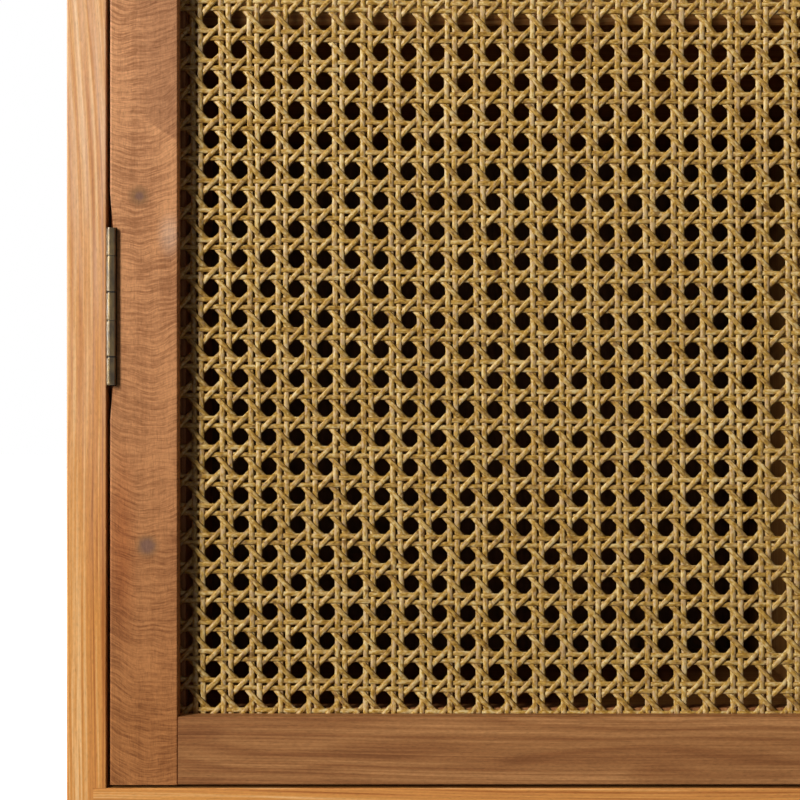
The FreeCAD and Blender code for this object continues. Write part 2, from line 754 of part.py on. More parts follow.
def back_panels():
    """Two plywood backs with a cable port each. Returns the screw holes of the left one."""
    left_edge = f"(-{side_inner} - backRabbetWidth)"
    blank = box(
        "back_blank",
        (left_edge, f"-{left_edge} - backSeam/2"),
        (back_inner, "backThickness"),
        ("standHeight", f"{ceiling} - standHeight"),
    )
    port_z = f"({shelf_top} + cablePortHeight)"
    through = "backThickness + 2"
    towards_back = ((1, 0, 0), -90)
    port = rod(
        "cable_port", "cablePortRadius", through, bay_middle, f"{back_inner} - 1", port_z,
        towards_back,
    )
    holes, screw_set = screws("back", back_screw, INTO_FRONT, back_screw_places())
    both_sides(cut("back_panel", blank, [port, holes]), "left_back_panel")
    shared(screw_set, "back_screws")
    return holes


def side_panels(dowel_set, back_holes, frame_holes):
    """Side panels with the rabbets and housings for what they carry."""
    blank = box(
        "side_blank",
        (f"-{half}", "boardThickness"),
        (front, "caseDepth"),
        ("standHeight", f"{ceiling} - standHeight"),
    )
    arrises = [
        {"x": f"-{half}", "y": front},
        {"x": f"-{side_inner}", "y": front},
        {"x": f"-{half}", "y": back},
    ]
    side = eased("side_eased", blank, [("edgeRound", "z", arrises)])
    housing_x = (f"-{side_inner} - housingDepth", "housingDepth + 1")
    floor_rabbet = box(
        "floor_rabbet",
        housing_x,
        (f"{front} - 1", f"{back_inner} - {front} + 1"),
        ("standHeight - 1", "boardThickness + 1"),
    )
    shelf_housing = box(
        "shelf_housing",
        housing_x,
        (shelf_front, f"{back_inner} - {shelf_front}"),
        (shelf_under, "boardThickness"),
    )
    back_rabbet = box(
        "back_rabbet",
        (f"-{side_inner} - backRabbetWidth", "backRabbetWidth + 1"),
        (back_inner, "backThickness + 1"),
        ("standHeight - 1", f"{ceiling} - standHeight + 2"),
    )
    tools = [floor_rabbet, shelf_housing, back_rabbet, dowel_set, back_holes, frame_holes]
    both_sides(cut("side_panel", side, tools), "left_side_panel")


def top_panel(dowel_set, catch_holes):
    """The top panel, which lies on the sides."""
    left, ahead = f"(-{half} - topOverhang)", f"({front} - topOverhang)"
    blank = box(
        "top_blank",
        (left, "caseWidth + 2*topOverhang"),
        (ahead, "caseDepth + topOverhang"),
        (ceiling, "topThickness"),
    )
    upper = f"({ceiling} + topThickness)"
    corners = [{"x": left, "y": ahead}, {"x": f"-{left}", "y": ahead}]
    roundings = [
        ("topRound", "z", corners),
        ("topRound", "x", [{"y": ahead, "z": upper}]),
        ("edgeRound", "x", [{"y": ahead, "z": ceiling}]),
    ]
    top = eased("top_eased", blank, roundings)
    piece(cut("top", top, [dowel_set, catch_holes, mirrored(catch_holes)]), "top_panel")


def floor_panel(back_holes, stand_holes):
    """The case floor, let into the sides, with a housing for the partition."""
    left = f"(-{side_inner} - housingDepth)"
    blank = box(
        "floor_blank",
        (left, f"-2*{left}"),
        (front, f"{back_inner} - {front}"),
        ("standHeight", "boardThickness"),
    )
    arrises = [{"y": front, "z": floor_top}, {"y": front, "z": "standHeight"}]
    floor = eased("floor_eased", blank, [("edgeRound", "x", arrises)])
    housing = box(
        "partition_housing",
        ("-boardThickness/2", "boardThickness"),
        (partition_front, f"{back_inner} - {partition_front}"),
        (f"{floor_top} - housingDepth", "housingDepth + 1"),
    )
    tools = [housing, back_holes, mirrored(back_holes), stand_holes, mirrored(stand_holes)]
    piece(cut("floor", floor, tools), "bottom_panel")


def inside(dowel_set, back_holes):
    """The partition between the bays, and a shelf in each bay."""
    shelf_depth = (shelf_front, f"{back_inner} - {shelf_front}")
    blank = box(
        "partition_blank",
        ("-boardThickness/2", "boardThickness"),
        (partition_front, f"{back_inner} - {partition_front}"),
        (f"{floor_top} - housingDepth", f"{opening} + housingDepth"),
    )
    arrises = [{"x": f"{side}*boardThickness/2", "y": partition_front} for side in (-1, 1)]
    partition = eased("partition_eased", blank, [("edgeRound", "z", arrises)])
    housings = [
        box(f"partition_shelf_housing{i}", (x, "housingDepth + 1"), shelf_depth,
            (shelf_under, "boardThickness"))
        for i, x in enumerate(["-boardThickness/2 - 1", "boardThickness/2 - housingDepth"])
    ]
    tools = housings + [dowel_set, back_holes, mirrored(back_holes)]
    piece(cut("partition", partition, tools), "centre_partition")
    shelf_left = f"(-{side_inner} - housingDepth)"
    shelf_blank = box(
        "shelf_blank",
        (shelf_left, f"-{shelf_left} - boardThickness/2 + housingDepth"),
        shelf_depth,
        (shelf_under, "boardThickness"),
    )
    fronts = [{"y": shelf_front, "z": z} for z in (shelf_under, shelf_top)]
    shelf = eased("shelf_eased", shelf_blank, [("edgeRound", "x", fronts)])
    both_sides(cut("shelf", shelf, [back_holes]), "left_shelf")


# ---- stand ---------------------------------------------------------------------------------

leg_left = f"(-{half} + legInset)"
leg_front = f"({front} + legInset)"
leg_back = f"({back} - legInset - legTop)"
apron_low = "(standHeight - apronHeight)"
tenon_low = f"({apron_low} + apronTenonShoulder)"
tenon_height = "(apronHeight - 2*apronTenonShoulder)"
tenon_offset = "((apronThickness - apronTenonThickness)/2)"


def leg(name, y, at_front):
    """A square leg whose two inner faces taper below the aprons."""
    # The wedge grows along its own Y, which is turned up; its own Z then runs towards the front.
    foot_z = ("legTop - legFoot", "legTop") if at_front else ("0", "legFoot")
    spans = {
        "X": ("0", "legFoot"),
        "Z": foot_z,
        "X2": ("0", "legTop"),
        "Z2": ("0", "legTop"),
        "Y": ("0", "standHeight - legBlock - glideHeight"),
    }
    taper = doc.addObject("Part::Wedge", f"{name}_taper")
    for axis, (low, high) in spans.items():
        tie(taper, f"{axis}min", low)
        tie(taper, f"{axis}max", high)
    place(taper, leg_left, f"{y} + legTop", "glideHeight", ((1, 0, 0), 90))
    block = box(
        f"{name}_block", (leg_left, "legTop"), (y, "legTop"), ("standHeight - legBlock", "legBlock")
    )
    blank = joined(f"{name}_blank", [taper, block])
    arris = {"x": leg_left, "y": y if at_front else f"({y} + legTop)"}
    return eased(f"{name}_eased", blank, [("legRound", "z", [arris])])


def apron(name, x, y, tenon_x, tenon_y):
    """An apron with its tenons. Every span is (start, size)."""
    body = box(f"{name}_board", x, y, (apron_low, "apronHeight"))
    tenon = box(f"{name}_tenons", tenon_x, tenon_y, (tenon_low, tenon_height))
    return joined(name, [body, tenon])


def corner_block(name, y, inwards):
    """A triangular block in a corner of the aprons, flush under the case. inwards is 1 or -1
    along Y."""
    reach = f"{inwards}*cornerBlock"
    body = padded_body(
        name, "XY", [("0", "0"), ("cornerBlock", "0"), ("0", reach)], "cornerBlockHeight"
    )
    inner_x = f"({leg_left} + apronSetback + apronThickness)"
    return place(body, inner_x, y, "standHeight - cornerBlockHeight")


def stand():
    """Legs, aprons, cross rail, corner blocks, glides and screws. Returns the left screws' holes
    in the case floor."""
    apron_front = f"({leg_front} + apronSetback)"
    apron_back = f"({leg_back} + legTop - apronSetback - apronThickness)"
    apron_left = f"({leg_left} + apronSetback)"
    legs_inner = f"({leg_left} + legTop)"
    front_leg = leg("front_leg", leg_front, True)
    rear_leg = leg("rear_leg", leg_back, False)
    thickness = "apronThickness"
    span = f"(-2*{legs_inner})"
    long_x = (legs_inner, span)
    long_tenon_x = (f"{legs_inner} - apronTenon", f"{span} + 2*apronTenon")
    long_aprons = []
    for label, y in (("front_apron", apron_front), ("rear_apron", apron_back)):
        tenon_y = (f"{y} + {tenon_offset}", "apronTenonThickness")
        blank = apron(f"{label}_blank", long_x, (y, thickness), long_tenon_x, tenon_y)
        long_aprons.append((label, blank))
    side_y = (f"{leg_front} + legTop", f"{leg_back} - {leg_front} - legTop")
    side_tenon_y = (f"{side_y[0]} - apronTenon", f"{side_y[1]} + 2*apronTenon")
    side_tenon_x = (f"{apron_left} + {tenon_offset}", "apronTenonThickness")
    side_apron = apron(
        "side_apron", (apron_left, thickness), side_y, side_tenon_x, side_tenon_y
    )
    cross_y = (f"{apron_front} + {thickness}", f"{apron_back} - {apron_front} - {thickness}")
    cross_tenon_y = (f"{cross_y[0]} - {tenon_offset}", f"{cross_y[1]} + 2*{tenon_offset}")
    cross_rail = apron(
        "cross_rail",
        (f"-{thickness}/2", thickness),
        cross_y,
        ("-apronTenonThickness/2", "apronTenonThickness"),
        cross_tenon_y,
    )

    nails = []
    glides = []
    for i, y in enumerate([f"{leg_front} + legFoot/2", f"{leg_back} + legTop - legFoot/2"]):
        x = f"{leg_left} + legFoot/2"
        nails.append(rod(f"glide_nail{i}", "glideNailRadius", "glideHeight/2 + glideNailLength",
                         x, y, "glideHeight/2"))
        disc = rod(f"glide_disc{i}", "glideRadius", "glideHeight", x, y, "0")
        glides.append(joined(f"glide{i}", [disc, nails[i]]))
    for name, made, nail, (_, long_apron) in (
        ("front", front_leg, nails[0], long_aprons[0]),
        ("rear", rear_leg, nails[1], long_aprons[1]),
    ):
        both_sides(cut(f"{name}_leg", made, [long_apron, side_apron, nail]), f"{name}_left_leg")
    shared(group("glides", glides), "leg_glides")
    both_sides(side_apron, "left_side_apron")
    for label, long_apron in long_aprons:
        piece(cut(label, long_apron, [cross_rail]), label)
    piece(cross_rail, "stand_cross_rail")

    blocks = [
        corner_block("front_block", f"{apron_front} + {thickness}", 1),
        corner_block("rear_block", apron_back, -1),
    ]
    third = "(cornerBlock/3)"
    screw_x = f"{leg_left} + apronSetback + {thickness} + {third}"
    screw_z = "standHeight - cornerBlockHeight"
    places = [
        (screw_x, f"{apron_front} + {thickness} + {third}", screw_z),
        (screw_x, f"{apron_back} - {third}", screw_z),
    ]
    holes, screw_set = screws("stand", stand_screw, UPWARDS, places)
    notches = [holes, front_leg, rear_leg]
    shared(cut("blocks", group("blocks_plain", blocks), notches), "corner_blocks")
    shared(screw_set, "stand_screws")
    return holes


# ---- the whole cabinet ---------------------------------------------------------------------

frame_leaf_holes, door_leaf_holes = hinges()
catch_screw_holes, strike_screw_holes = catch()
knob_hole = knob()
door_frame(door_leaf_holes, strike_screw_holes, knob_hole)
top_dowels = dowels()
left_back_holes = back_panels()
side_panels(top_dowels, left_back_holes, frame_leaf_holes)
top_panel(top_dowels, catch_screw_holes)
stand_screw_holes = stand()
floor_panel(left_back_holes, stand_screw_holes)
inside(top_dowels, left_back_holes)
cane_and_beads()
doc.recompute()

for thing in doc.Objects:
    if "Invalid" in thing.State or "Error" in thing.State:
        raise RuntimeError(f"{thing.Name} ({thing.Label}) didn't compute: {thing.State}")
for made in pieces:
    shape = made.Shape
    if shape.isNull() or not shape.isValid() or not shape.Solids:
        raise RuntimeError(f"{made.Label} isn't a valid solid")

os.makedirs("parts", exist_ok=True)
for made in pieces:
    made.Shape.exportStep(os.path.join("parts", f"{made.Label}.step"))
    print(f"{made.Label}: {len(made.Shape.Solids)} solid(s), {made.Shape.Volume / 1000:.2f} cm3")
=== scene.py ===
import math
from functools import partial

import bmesh
import bpy
from mathutils import Matrix, Vector, noise


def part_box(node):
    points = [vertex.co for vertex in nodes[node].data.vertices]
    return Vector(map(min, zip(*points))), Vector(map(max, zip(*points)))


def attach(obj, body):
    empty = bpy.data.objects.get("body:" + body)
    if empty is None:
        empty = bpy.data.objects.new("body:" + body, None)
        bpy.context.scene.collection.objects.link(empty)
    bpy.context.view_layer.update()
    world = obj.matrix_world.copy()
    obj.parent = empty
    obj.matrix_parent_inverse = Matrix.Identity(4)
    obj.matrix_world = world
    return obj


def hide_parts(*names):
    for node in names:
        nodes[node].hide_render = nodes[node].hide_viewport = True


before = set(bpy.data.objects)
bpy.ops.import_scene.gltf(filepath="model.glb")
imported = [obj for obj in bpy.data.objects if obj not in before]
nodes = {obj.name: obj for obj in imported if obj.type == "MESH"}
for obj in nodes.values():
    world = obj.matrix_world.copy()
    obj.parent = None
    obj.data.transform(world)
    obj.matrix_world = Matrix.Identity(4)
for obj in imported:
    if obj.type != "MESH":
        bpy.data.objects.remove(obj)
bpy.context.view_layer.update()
mm = 0.001
print("stage: frame loaded,", len(nodes), "nodes")

# settings that many shader nodes share
times = {"operation": "MULTIPLY"}
timesPlus = {"operation": "MULTIPLY_ADD"}
asColour = {"data_type": "RGBA"}
timesColour = {"data_type": "RGBA", "blend_type": "MULTIPLY"}
smoothly = {"interpolation_type": "SMOOTHSTEP"}


def hexColour(code):
    # sRGB hex to the linear values that the shaders take
    parts = [int(code[i : i + 2], 16) / 255 for i in (1, 3, 5)]
    linear = [c / 12.92 if c <= 0.04045 else ((c + 0.055) / 1.055) ** 2.4 for c in parts]
    return (*linear, 1.0)


def grey(value):
    return (value, value, value, 1.0)


def addNode(tree, kind, settings=None, inputs=None, stops=None):
    # one shader node with its settings, its inputs (a node, a socket or a value) and ramp's stops
    made = tree.nodes.new("ShaderNode" + kind)
    for key, value in (settings or {}).items():
        setattr(made, key, value)
    for key, value in (inputs or {}).items():
        if isinstance(value, bpy.types.Node):
            value = value.outputs[0]
        if isinstance(value, bpy.types.NodeSocket):
            tree.links.new(value, made.inputs[key])
        else:
            made.inputs[key].default_value = value
    if stops:
        ramp = made.color_ramp
        ramp.elements[0].position, ramp.elements[0].color = stops[0]
        ramp.elements[1].position, ramp.elements[1].color = stops[-1]
        for place, colour in stops[1:-1]:
            ramp.elements.new(place).color = colour
    return made


def newMaterial(name):
    # an empty material, and a maker of nodes in it
    material = bpy.data.materials.new(name)
    material.use_nodes = True
    material.node_tree.nodes.clear()
    return material, partial(addNode, material.node_tree)


def closeMaterial(make, inputs):
    shader = make("BsdfPrincipled", None, inputs)
    make("OutputMaterial", None, {0: shader})


def dress(piece, material):
    piece.data.materials.clear()
    piece.data.materials.append(material)


def middleOf(node):
    low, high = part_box(node)
    return (low + high) / 2


def grainNoise(make, vector, size, detail=2.0, offset=0.0):
    # a pattern whose features are so many mm wide across the grain, and so many long
    across, along = size
    scale = (1 / across, 1 / across, 1 / along)
    placed = make("Mapping", None, {0: vector, "Location": [offset] * 3, "Scale": scale})
    inputs = {"Vector": placed, "Scale": 1.0, "Detail": detail, "Roughness": 0.55}
    return make("TexNoise", {"noise_dimensions": "3D"}, inputs).outputs["Fac"]


def weighed(make, parts):
    # the sum of some values, each times its weight
    total = 0.0
    for value, weight in parts:
        total = make("Math", timesPlus, {0: value, 1: weight, 2: total})
    return total


woodLook = {
    "case": {  # solid cherry, planed and oiled: light orange brown with straight stripes
        "tones": [(0.14, "#A8652F"), (0.36, "#C88345"), (0.56, "#D6924A"), (0.84, "#EDBA7E")],
        "ringMm": 2.3,
        "stripeMm": 0.95,
        "bandMm": 3.6,
        "shares": (0.16, 0.62, 0.52),  # of rings, stripes and bands in the grain
        "staveMm": 98.0,
        "pithMm": (64.0, 25.0),
        "lean": 0.01,
        "bendMm": 24.0,
        "swayMm": 60.0,
        "finish": {"roughness": 0.5, "fibres": 0.08, "mottle": 0.06, "pores": 0.75},
    },
    "frame": {  # figured cherry of the door rails and beads: redder and darker
        "tones": [(0.08, "#704325"), (0.38, "#8B5933"), (0.62, "#9C693E"), (0.92, "#B98250")],
        "ringMm": 3.1,
        "stripeMm": 0.8,
        "bandMm": 7.0,
        "shares": (0.3, 0.42, 0.4),
        "staveMm": 0.0,
        "pithMm": (50.0, 9.0),
        "lean": 0.03,
        "bendMm": 6.0,
        "swayMm": 12.0,
        "finish": {"roughness": 0.5, "fibres": 0.12, "mottle": 0.1, "pores": 0.8},
    },
    "stand": {  # plain cherry of the stand
        "tones": [(0.1, "#8A5430"), (0.4, "#A86F45"), (0.62, "#B87D4E"), (0.9, "#CC935F")],
        "ringMm": 2.9,
        "stripeMm": 1.0,
        "bandMm": 5.5,
        "shares": (0.4, 0.4, 0.45),
        "staveMm": 0.0,
        "pithMm": (58.0, 15.0),
        "lean": 0.022,
        "bendMm": 10.0,
        "swayMm": 16.0,
        "finish": {"roughness": 0.5, "fibres": 0.1, "mottle": 0.08, "pores": 0.7},
    },
    "dowel": {  # bare beech of the dowels: pale, close grained
        "tones": [(0.1, "#B08A5C"), (0.4, "#C79F70"), (0.62, "#D2AC7E"), (0.9, "#DEBC92")],
        "ringMm": 1.6,
        "stripeMm": 0.6,
        "bandMm": 4.0,
        "shares": (0.3, 0.5, 0.3),
        "staveMm": 0.0,
        "pithMm": (30.0, 8.0),
        "lean": 0.02,
        "bendMm": 2.0,
        "swayMm": 0.0,
        "finish": {"roughness": 0.6, "fibres": 0.1, "mottle": 0.08, "pores": 0.6},
    },
}
grainLook = {
    # how wide and how long the patterns are in every wood, mm
    "flow": (110.0, 420.0),
    "bend": (1.0, 230.0),
    "wander": (26.0, 190.0),
    "stripeLong": 150.0,
    "bandLong": 320.0,
    # the streaks of the painted sheen on the side panels
    "paintedTopSheen": (2.2, 60.0),
    "fibre": (0.6, 9.0),
    "mottle": (0.9, 2.2),
    "pore": (0.45, 3.5),
    "wanderRings": 7.0,  # how many rings the wander shifts
    # how pale the wood is over a ring, and how end grain shows it, darker because it takes more oil
    "ring": ((0.0, 0.3), (0.16, 0.95), (0.55, 0.75), (0.86, 0.0), (1.0, 0.3)),
    "endRing": (0.45, 0.08),
    "poreShade": 0.76,
    "reliefMm": 0.08,
    "roughnessSpread": 0.08,
    "boardStep": 613.0,  # mm of the tree from one board to the next
    "staveStep": 900.0,  # mm of the tree that a panel's staves come from
    "staveSeed": 7.31,
    "pithSpread": (45.0, 45.0, 0.0),  # mm that the pith moves from stave to stave
    "sheen": 0.14,  # oiled wood, open pored: a weak reflection
    "ior": 1.48,
}


def facing(make, axis):
    # 1 on the faces that look along this axis
    normal = make("TexCoord").outputs["Normal"]
    side = make("SeparateXYZ", None, {0: normal}).outputs[axis]
    size = make("Math", {"operation": "ABSOLUTE"}, {0: side})
    return make("Math", {"operation": "GREATER_THAN"}, {0: size, 1: 0.7})


def grainSpace(make, order, centre):
    # the board's own coordinates in mm: through the thickness, across the width, along the grain
    coords = make("TexCoord").outputs["Object"]
    placed = make("VectorMath", {"operation": "SUBTRACT"}, {0: coords, 1: tuple(centre)})
    scaled = make("VectorMath", {"operation": "SCALE"}, {0: placed, "Scale": 1 / mm})
    axes = make("SeparateXYZ", None, {0: scaled}).outputs
    return [axes["XYZ".index(axis)] for axis in order]


def finishWood(make, vector, colour, finish):
    # fibres, mottle, pores, sheen and relief
    roughness, fibres, mottle, pores = finish.values()
    fibre = grainNoise(make, vector, grainLook["fibre"], detail=3.0)
    blotch = grainNoise(make, vector, grainLook["mottle"], offset=31.0)
    pore = grainNoise(make, vector, grainLook["pore"], detail=1.0, offset=57.0)
    fibreStops = [(0.3, grey(1 - fibres)), (0.7, grey(1 + 0.8 * fibres))]
    blotchStops = [(0.32, grey(1 - mottle)), (0.68, grey(1 + 0.9 * mottle))]
    poreStops = [(0.6, grey(1.0)), (0.72, grey(grainLook["poreShade"]))]
    poreShade = make("ValToRGB", None, {0: pore}, poreStops)
    shades = (
        (make("ValToRGB", None, {0: fibre}, fibreStops), 1.0),
        (make("ValToRGB", None, {0: blotch}, blotchStops), 1.0),
        (poreShade, pores),
    )
    for shade, share in shades:
        colour = make("Mix", timesColour, {0: share, 6: colour, 7: shade}).outputs[2]
    rougher, smoother = (roughness + way * grainLook["roughnessSpread"] for way in (1, -1))
    height = make("Math", times, {0: fibre, 1: poreShade})
    relief = {"Height": height, "Distance": grainLook["reliefMm"] * mm, "Strength": 0.5}
    inputs = {
        "Base Color": colour,
        "Roughness": make("MapRange", None, {0: fibre, 3: rougher, 4: smoother}),
        "Normal": make("Bump", None, relief),
        "IOR": grainLook["ior"],
        "Specular IOR Level": grainLook["sheen"],
    }
    closeMaterial(make, inputs)


# the compartments behind the doors, whose faces are darkened with a painted shade
insideLook = {
    "insideShade": "#B6B3AB",
    "reachMm": (0.2, -0.6, 0.2),  # past the panels' faces, but short of the doors' front
}
cavityLow = Vector((
    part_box("left_side_panel")[1].x,
    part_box("left_door_hinge_stile")[0].y,
    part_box("bottom_panel")[1].z,
))
cavityHigh = Vector((
    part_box("right_side_panel")[0].x,
    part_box("left_back_panel")[0].y,
    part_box("top_panel")[0].z,
))


def insideCase(make):
    # 1 on every face that looks into the compartments, 0 outside
    coords = make("TexCoord").outputs["Object"]
    half = (cavityHigh - cavityLow) / 2 + Vector(insideLook["reachMm"]) * mm
    middle = (cavityHigh + cavityLow) / 2
    away = make("VectorMath", {"operation": "SUBTRACT"}, {0: coords, 1: tuple(middle)})
    share = make("VectorMath", {"operation": "DIVIDE"}, {0: away, 1: tuple(half)})
    positive = make("VectorMath", {"operation": "ABSOLUTE"}, {0: share})
    parts = make("SeparateXYZ", None, {0: positive}).outputs
    most = make("Math", {"operation": "MAXIMUM"}, {0: parts["X"], 1: parts["Y"]})
    most = make("Math", {"operation": "MAXIMUM"}, {0: most, 1: parts["Z"]})
    return make("Math", {"operation": "LESS_THAN"}, {0: most, 1: 1.0})


def gluedStaves(make, staveMm, across, lift, pithPlace, seed):
    # wide panels are glued up from staves, each sawn from another place
    stave = make("Math", {"operation": "DIVIDE"}, {0: across, 1: staveMm})
    shifted = make("Math", {"operation": "ADD"}, {0: stave, 1: 0.5})
    index = make("Math", {"operation": "FLOOR"}, {0: shifted})
    rest = make("Math", {"operation": "FRACT"}, {0: shifted})
    inStave = make("Math", timesPlus, {0: rest, 1: staveMm, 2: -staveMm / 2})
    key = make("Math", {"operation": "ADD"}, {0: index, 1: seed * grainLook["staveSeed"]})
    drawn = make("TexWhiteNoise", {"noise_dimensions": "1D"}, {"W": key}).outputs
    lifted = {0: drawn["Value"], 1: grainLook["staveStep"], 2: lift}
    moved = {0: drawn["Color"], 1: grainLook["pithSpread"], 2: pithPlace}
    return (
        inStave,
        make("Math", timesPlus, lifted),
        make("VectorMath", timesPlus, moved),
    )


def boardWood(name, kind, order, centre, seed, topSheen=None):
    # oiled cherry, sawn as boards: growth rings round a pith that lies outside the board
    look = woodLook[kind]
    material, make = newMaterial(name)
    through, across, along = grainSpace(make, order, centre)
    lift = make("Math", {"operation": "ADD"}, {0: along, 1: seed * grainLook["boardStep"]})
    pithPlace = make("CombineXYZ", None, dict(enumerate(look["pithMm"])))
    if look["staveMm"]:
        across, lift, pithPlace = gluedStaves(make, look["staveMm"], across, lift, pithPlace, seed)

    # the grain flows over the wide faces, and bends and slants on the edges
    wide = facing(make, order[0])
    flowing = make("CombineXYZ", None, {0: through, 1: across, 2: lift})
    flow = grainNoise(make, flowing, grainLook["flow"], detail=1.0, offset=33.0)
    sway = make("MapRange", None, {0: wide, 4: look["swayMm"]})
    across = make("Math", timesPlus, {0: flow, 1: sway, 2: across})
    vector = make("CombineXYZ", None, {0: through, 1: across, 2: lift})
    alongOnly = make("CombineXYZ", None, {2: lift})
    bend = grainNoise(make, alongOnly, grainLook["bend"], detail=0.0, offset=2.5)
    bendMm = make("MapRange", None, {0: wide, 3: look["bendMm"], 4: 0.0})
    bent = make("Math", timesPlus, {0: bend, 1: bendMm, 2: through})
    slant = make("MapRange", None, {0: wide, 3: look["lean"], 4: 0.0})
    lean = make("Math", timesPlus, {0: along, 1: slant, 2: bent})

    # rings, stripes and bands
    leaning = make("CombineXYZ", None, {0: lean, 1: across})
    fromPith = make("VectorMath", {"operation": "ADD"}, {0: leaning, 1: pithPlace})
    radius = make("VectorMath", {"operation": "LENGTH"}, {0: fromPith}).outputs["Value"]
    rings = make("Math", {"operation": "DIVIDE"}, {0: radius, 1: look["ringMm"]})
    wander = grainNoise(make, vector, grainLook["wander"])
    wandered = make("Math", timesPlus, {0: wander, 1: grainLook["wanderRings"], 2: rings})
    part = make("Math", {"operation": "FRACT"}, {0: wandered})
    ringStops = [(place, grey(pale)) for place, pale in grainLook["ring"]]
    ring = make("ValToRGB", None, {0: part}, ringStops)
    leant = make("CombineXYZ", None, {0: lean, 1: across, 2: lift})
    stripe = grainNoise(make, leant, (look["stripeMm"], grainLook["stripeLong"]), offset=5.0)
    band = grainNoise(make, leant, (look["bandMm"], grainLook["bandLong"]), offset=11.0)
    parts = [ring]
    parts += [make("MapRange", None, {0: value, 1: 0.3, 2: 0.7}) for value in (stripe, band)]
    shares = [share / sum(look["shares"]) for share in look["shares"]]
    tone = weighed(make, zip(parts, shares))
    ringContrast, ringTone = grainLook["endRing"]
    endRings = make("Math", timesPlus, {0: ring, 1: ringContrast, 2: ringTone})
    tone = make("Mix", None, {0: facing(make, order[2]), 2: tone, 3: endRings})
    stops = [(place, hexColour(code)) for place, code in look["tones"]]
    colour = make("ValToRGB", None, {0: tone}, stops).outputs[0]

    # painted sheen: the upper part is painted paler and whiter, standing in for the gloss of the
    # light on the oiled face
    if topSheen:  # the upper part is paler, in long soft streaks
        (low, high), most, tint = topSheen
        pale = make("MapRange", None, {0: along, 1: low, 2: high, 4: most})
        streaks = grainNoise(make, leant, grainLook["paintedTopSheen"], offset=77.0)
        shown = make("MapRange", None, {0: streaks, 1: 0.36, 2: 0.66, 3: 0.5, 4: 1.6})
        factor = make("Math", times, {0: pale, 1: shown})
        paler = {0: factor, 6: colour, 7: hexColour(tint)}
        colour = make("Mix", asColour, paler).outputs[2]
    # painted shade: the faces inside the compartments are painted darker
    if kind == "case":
        shadedInside = {0: insideCase(make), 6: colour, 7: hexColour(insideLook["insideShade"])}
        colour = make("Mix", timesColour, shadedInside).outputs[2]
    finishWood(make, vector, colour, look["finish"])
    return material


rippleLook = {
    # lighter up the stile from low to high: partly the wood's own tone, partly painted light
    # brighter towards the top
    "low": "#9C6337",  # at the door's foot
    "high": "#BF8559",
    "riseMm": (-330.0, -40.0),  # between these heights from the stile's middle
    "ripples": ((2.5, 12.0, 9.0), (1.15, 8.0, 23.0)),  # period and patch in mm, and offset
    "patchLong": 1.6,  # how much longer than wide the patches of ripples are
    "radiusMm": 32.0,  # the ripples sag between the stile's edges
    "sagMm": (8.0, -5.0),  # lowest point across the stile, low down and at the middle
    "wanderMm": 8.0,
    "wander": (16.0, 34.0),
    "dash": (3.4, 0.5),
    "line": (15.0, 1.15),
    "cloud": (17.0, 45.0),
    "streak": (1.6, 160.0),
    # of coarse and fine ripples, dashes, lines, clouds and streaks
    "weights": (1.0, 0.7, 1.5, 1.5, 1.6, 0.6),
    "darkest": (0.66, 0.60, 0.56, 1.0),  # what the figure multiplies the colour by
    "lightest": (1.3, 1.36, 1.38, 1.0),
    "veilEdgeMm": (-0.6, 0.9),
    "veilSideMm": (-11.0, 1.0),
    "knotHalo": "#86603F",
    "knotCore": "#78574A",
    "haloMm": 5.4,
    "knotShare": 0.8,
    "raggedMm": 1.8,
    "finish": {"roughness": 0.48, "fibres": 0.04, "mottle": 0.1, "pores": 0.8},
}


def rippleFigure(make, through, across, along, lift, vector):
    # curved ripples across the grain, with short dashes, lines and streaks among them
    look = rippleLook
    (low, high), (sagLow, sagHigh) = look["riseMm"], look["sagMm"]
    sagAt = make("MapRange", None, {0: along, 1: low, 2: high, 3: sagLow, 4: sagHigh})
    side = make("Math", {"operation": "SUBTRACT"}, {0: across, 1: sagAt})
    square = make("Math", times, {0: side, 1: side})
    sag = make("Math", timesPlus, {0: square, 1: -0.5 / look["radiusMm"], 2: lift})
    wander = grainNoise(make, vector, look["wander"], detail=1.0, offset=3.0)
    bent = make("Math", timesPlus, {0: wander, 1: look["wanderMm"], 2: sag})
    parts = []
    for period, patch, offset in look["ripples"]:
        turns = make("Math", times, {0: bent, 1: 2 * math.pi / period})
        wave = make("Math", {"operation": "SINE"}, {0: turns})
        patches = grainNoise(make, vector, (patch, patch * look["patchLong"]), offset=offset)
        shown = make("MapRange", smoothly, {0: patches, 1: 0.4, 2: 0.66, 3: 0.12})
        parts.append(make("Math", times, {0: wave, 1: shown}))
    rippled = make("CombineXYZ", None, {0: through, 1: across, 2: bent})
    dashes = grainNoise(make, rippled, look["dash"], offset=47.0)
    lines = grainNoise(make, rippled, look["line"], offset=41.0)
    clouds = grainNoise(make, vector, look["cloud"], detail=3.0, offset=17.0)
    streaks = grainNoise(make, vector, look["streak"], offset=29.0)
    parts.append(make("MapRange", None, {0: dashes, 1: 0.3, 2: 0.7, 3: -1.0}))
    parts.append(make("MapRange", smoothly, {0: lines, 1: 0.36, 2: 0.68, 3: -0.7, 4: 1.3}))
    parts.append(make("MapRange", None, {0: clouds, 1: 0.3, 2: 0.7, 3: -1.0}))
    parts.append(make("MapRange", None, {0: streaks, 1: 0.3, 2: 0.7, 3: -1.0}))
    figure = weighed(make, zip(parts, look["weights"]))
    return make("MapRange", None, {0: figure, 1: -2.5, 2: 2.5})


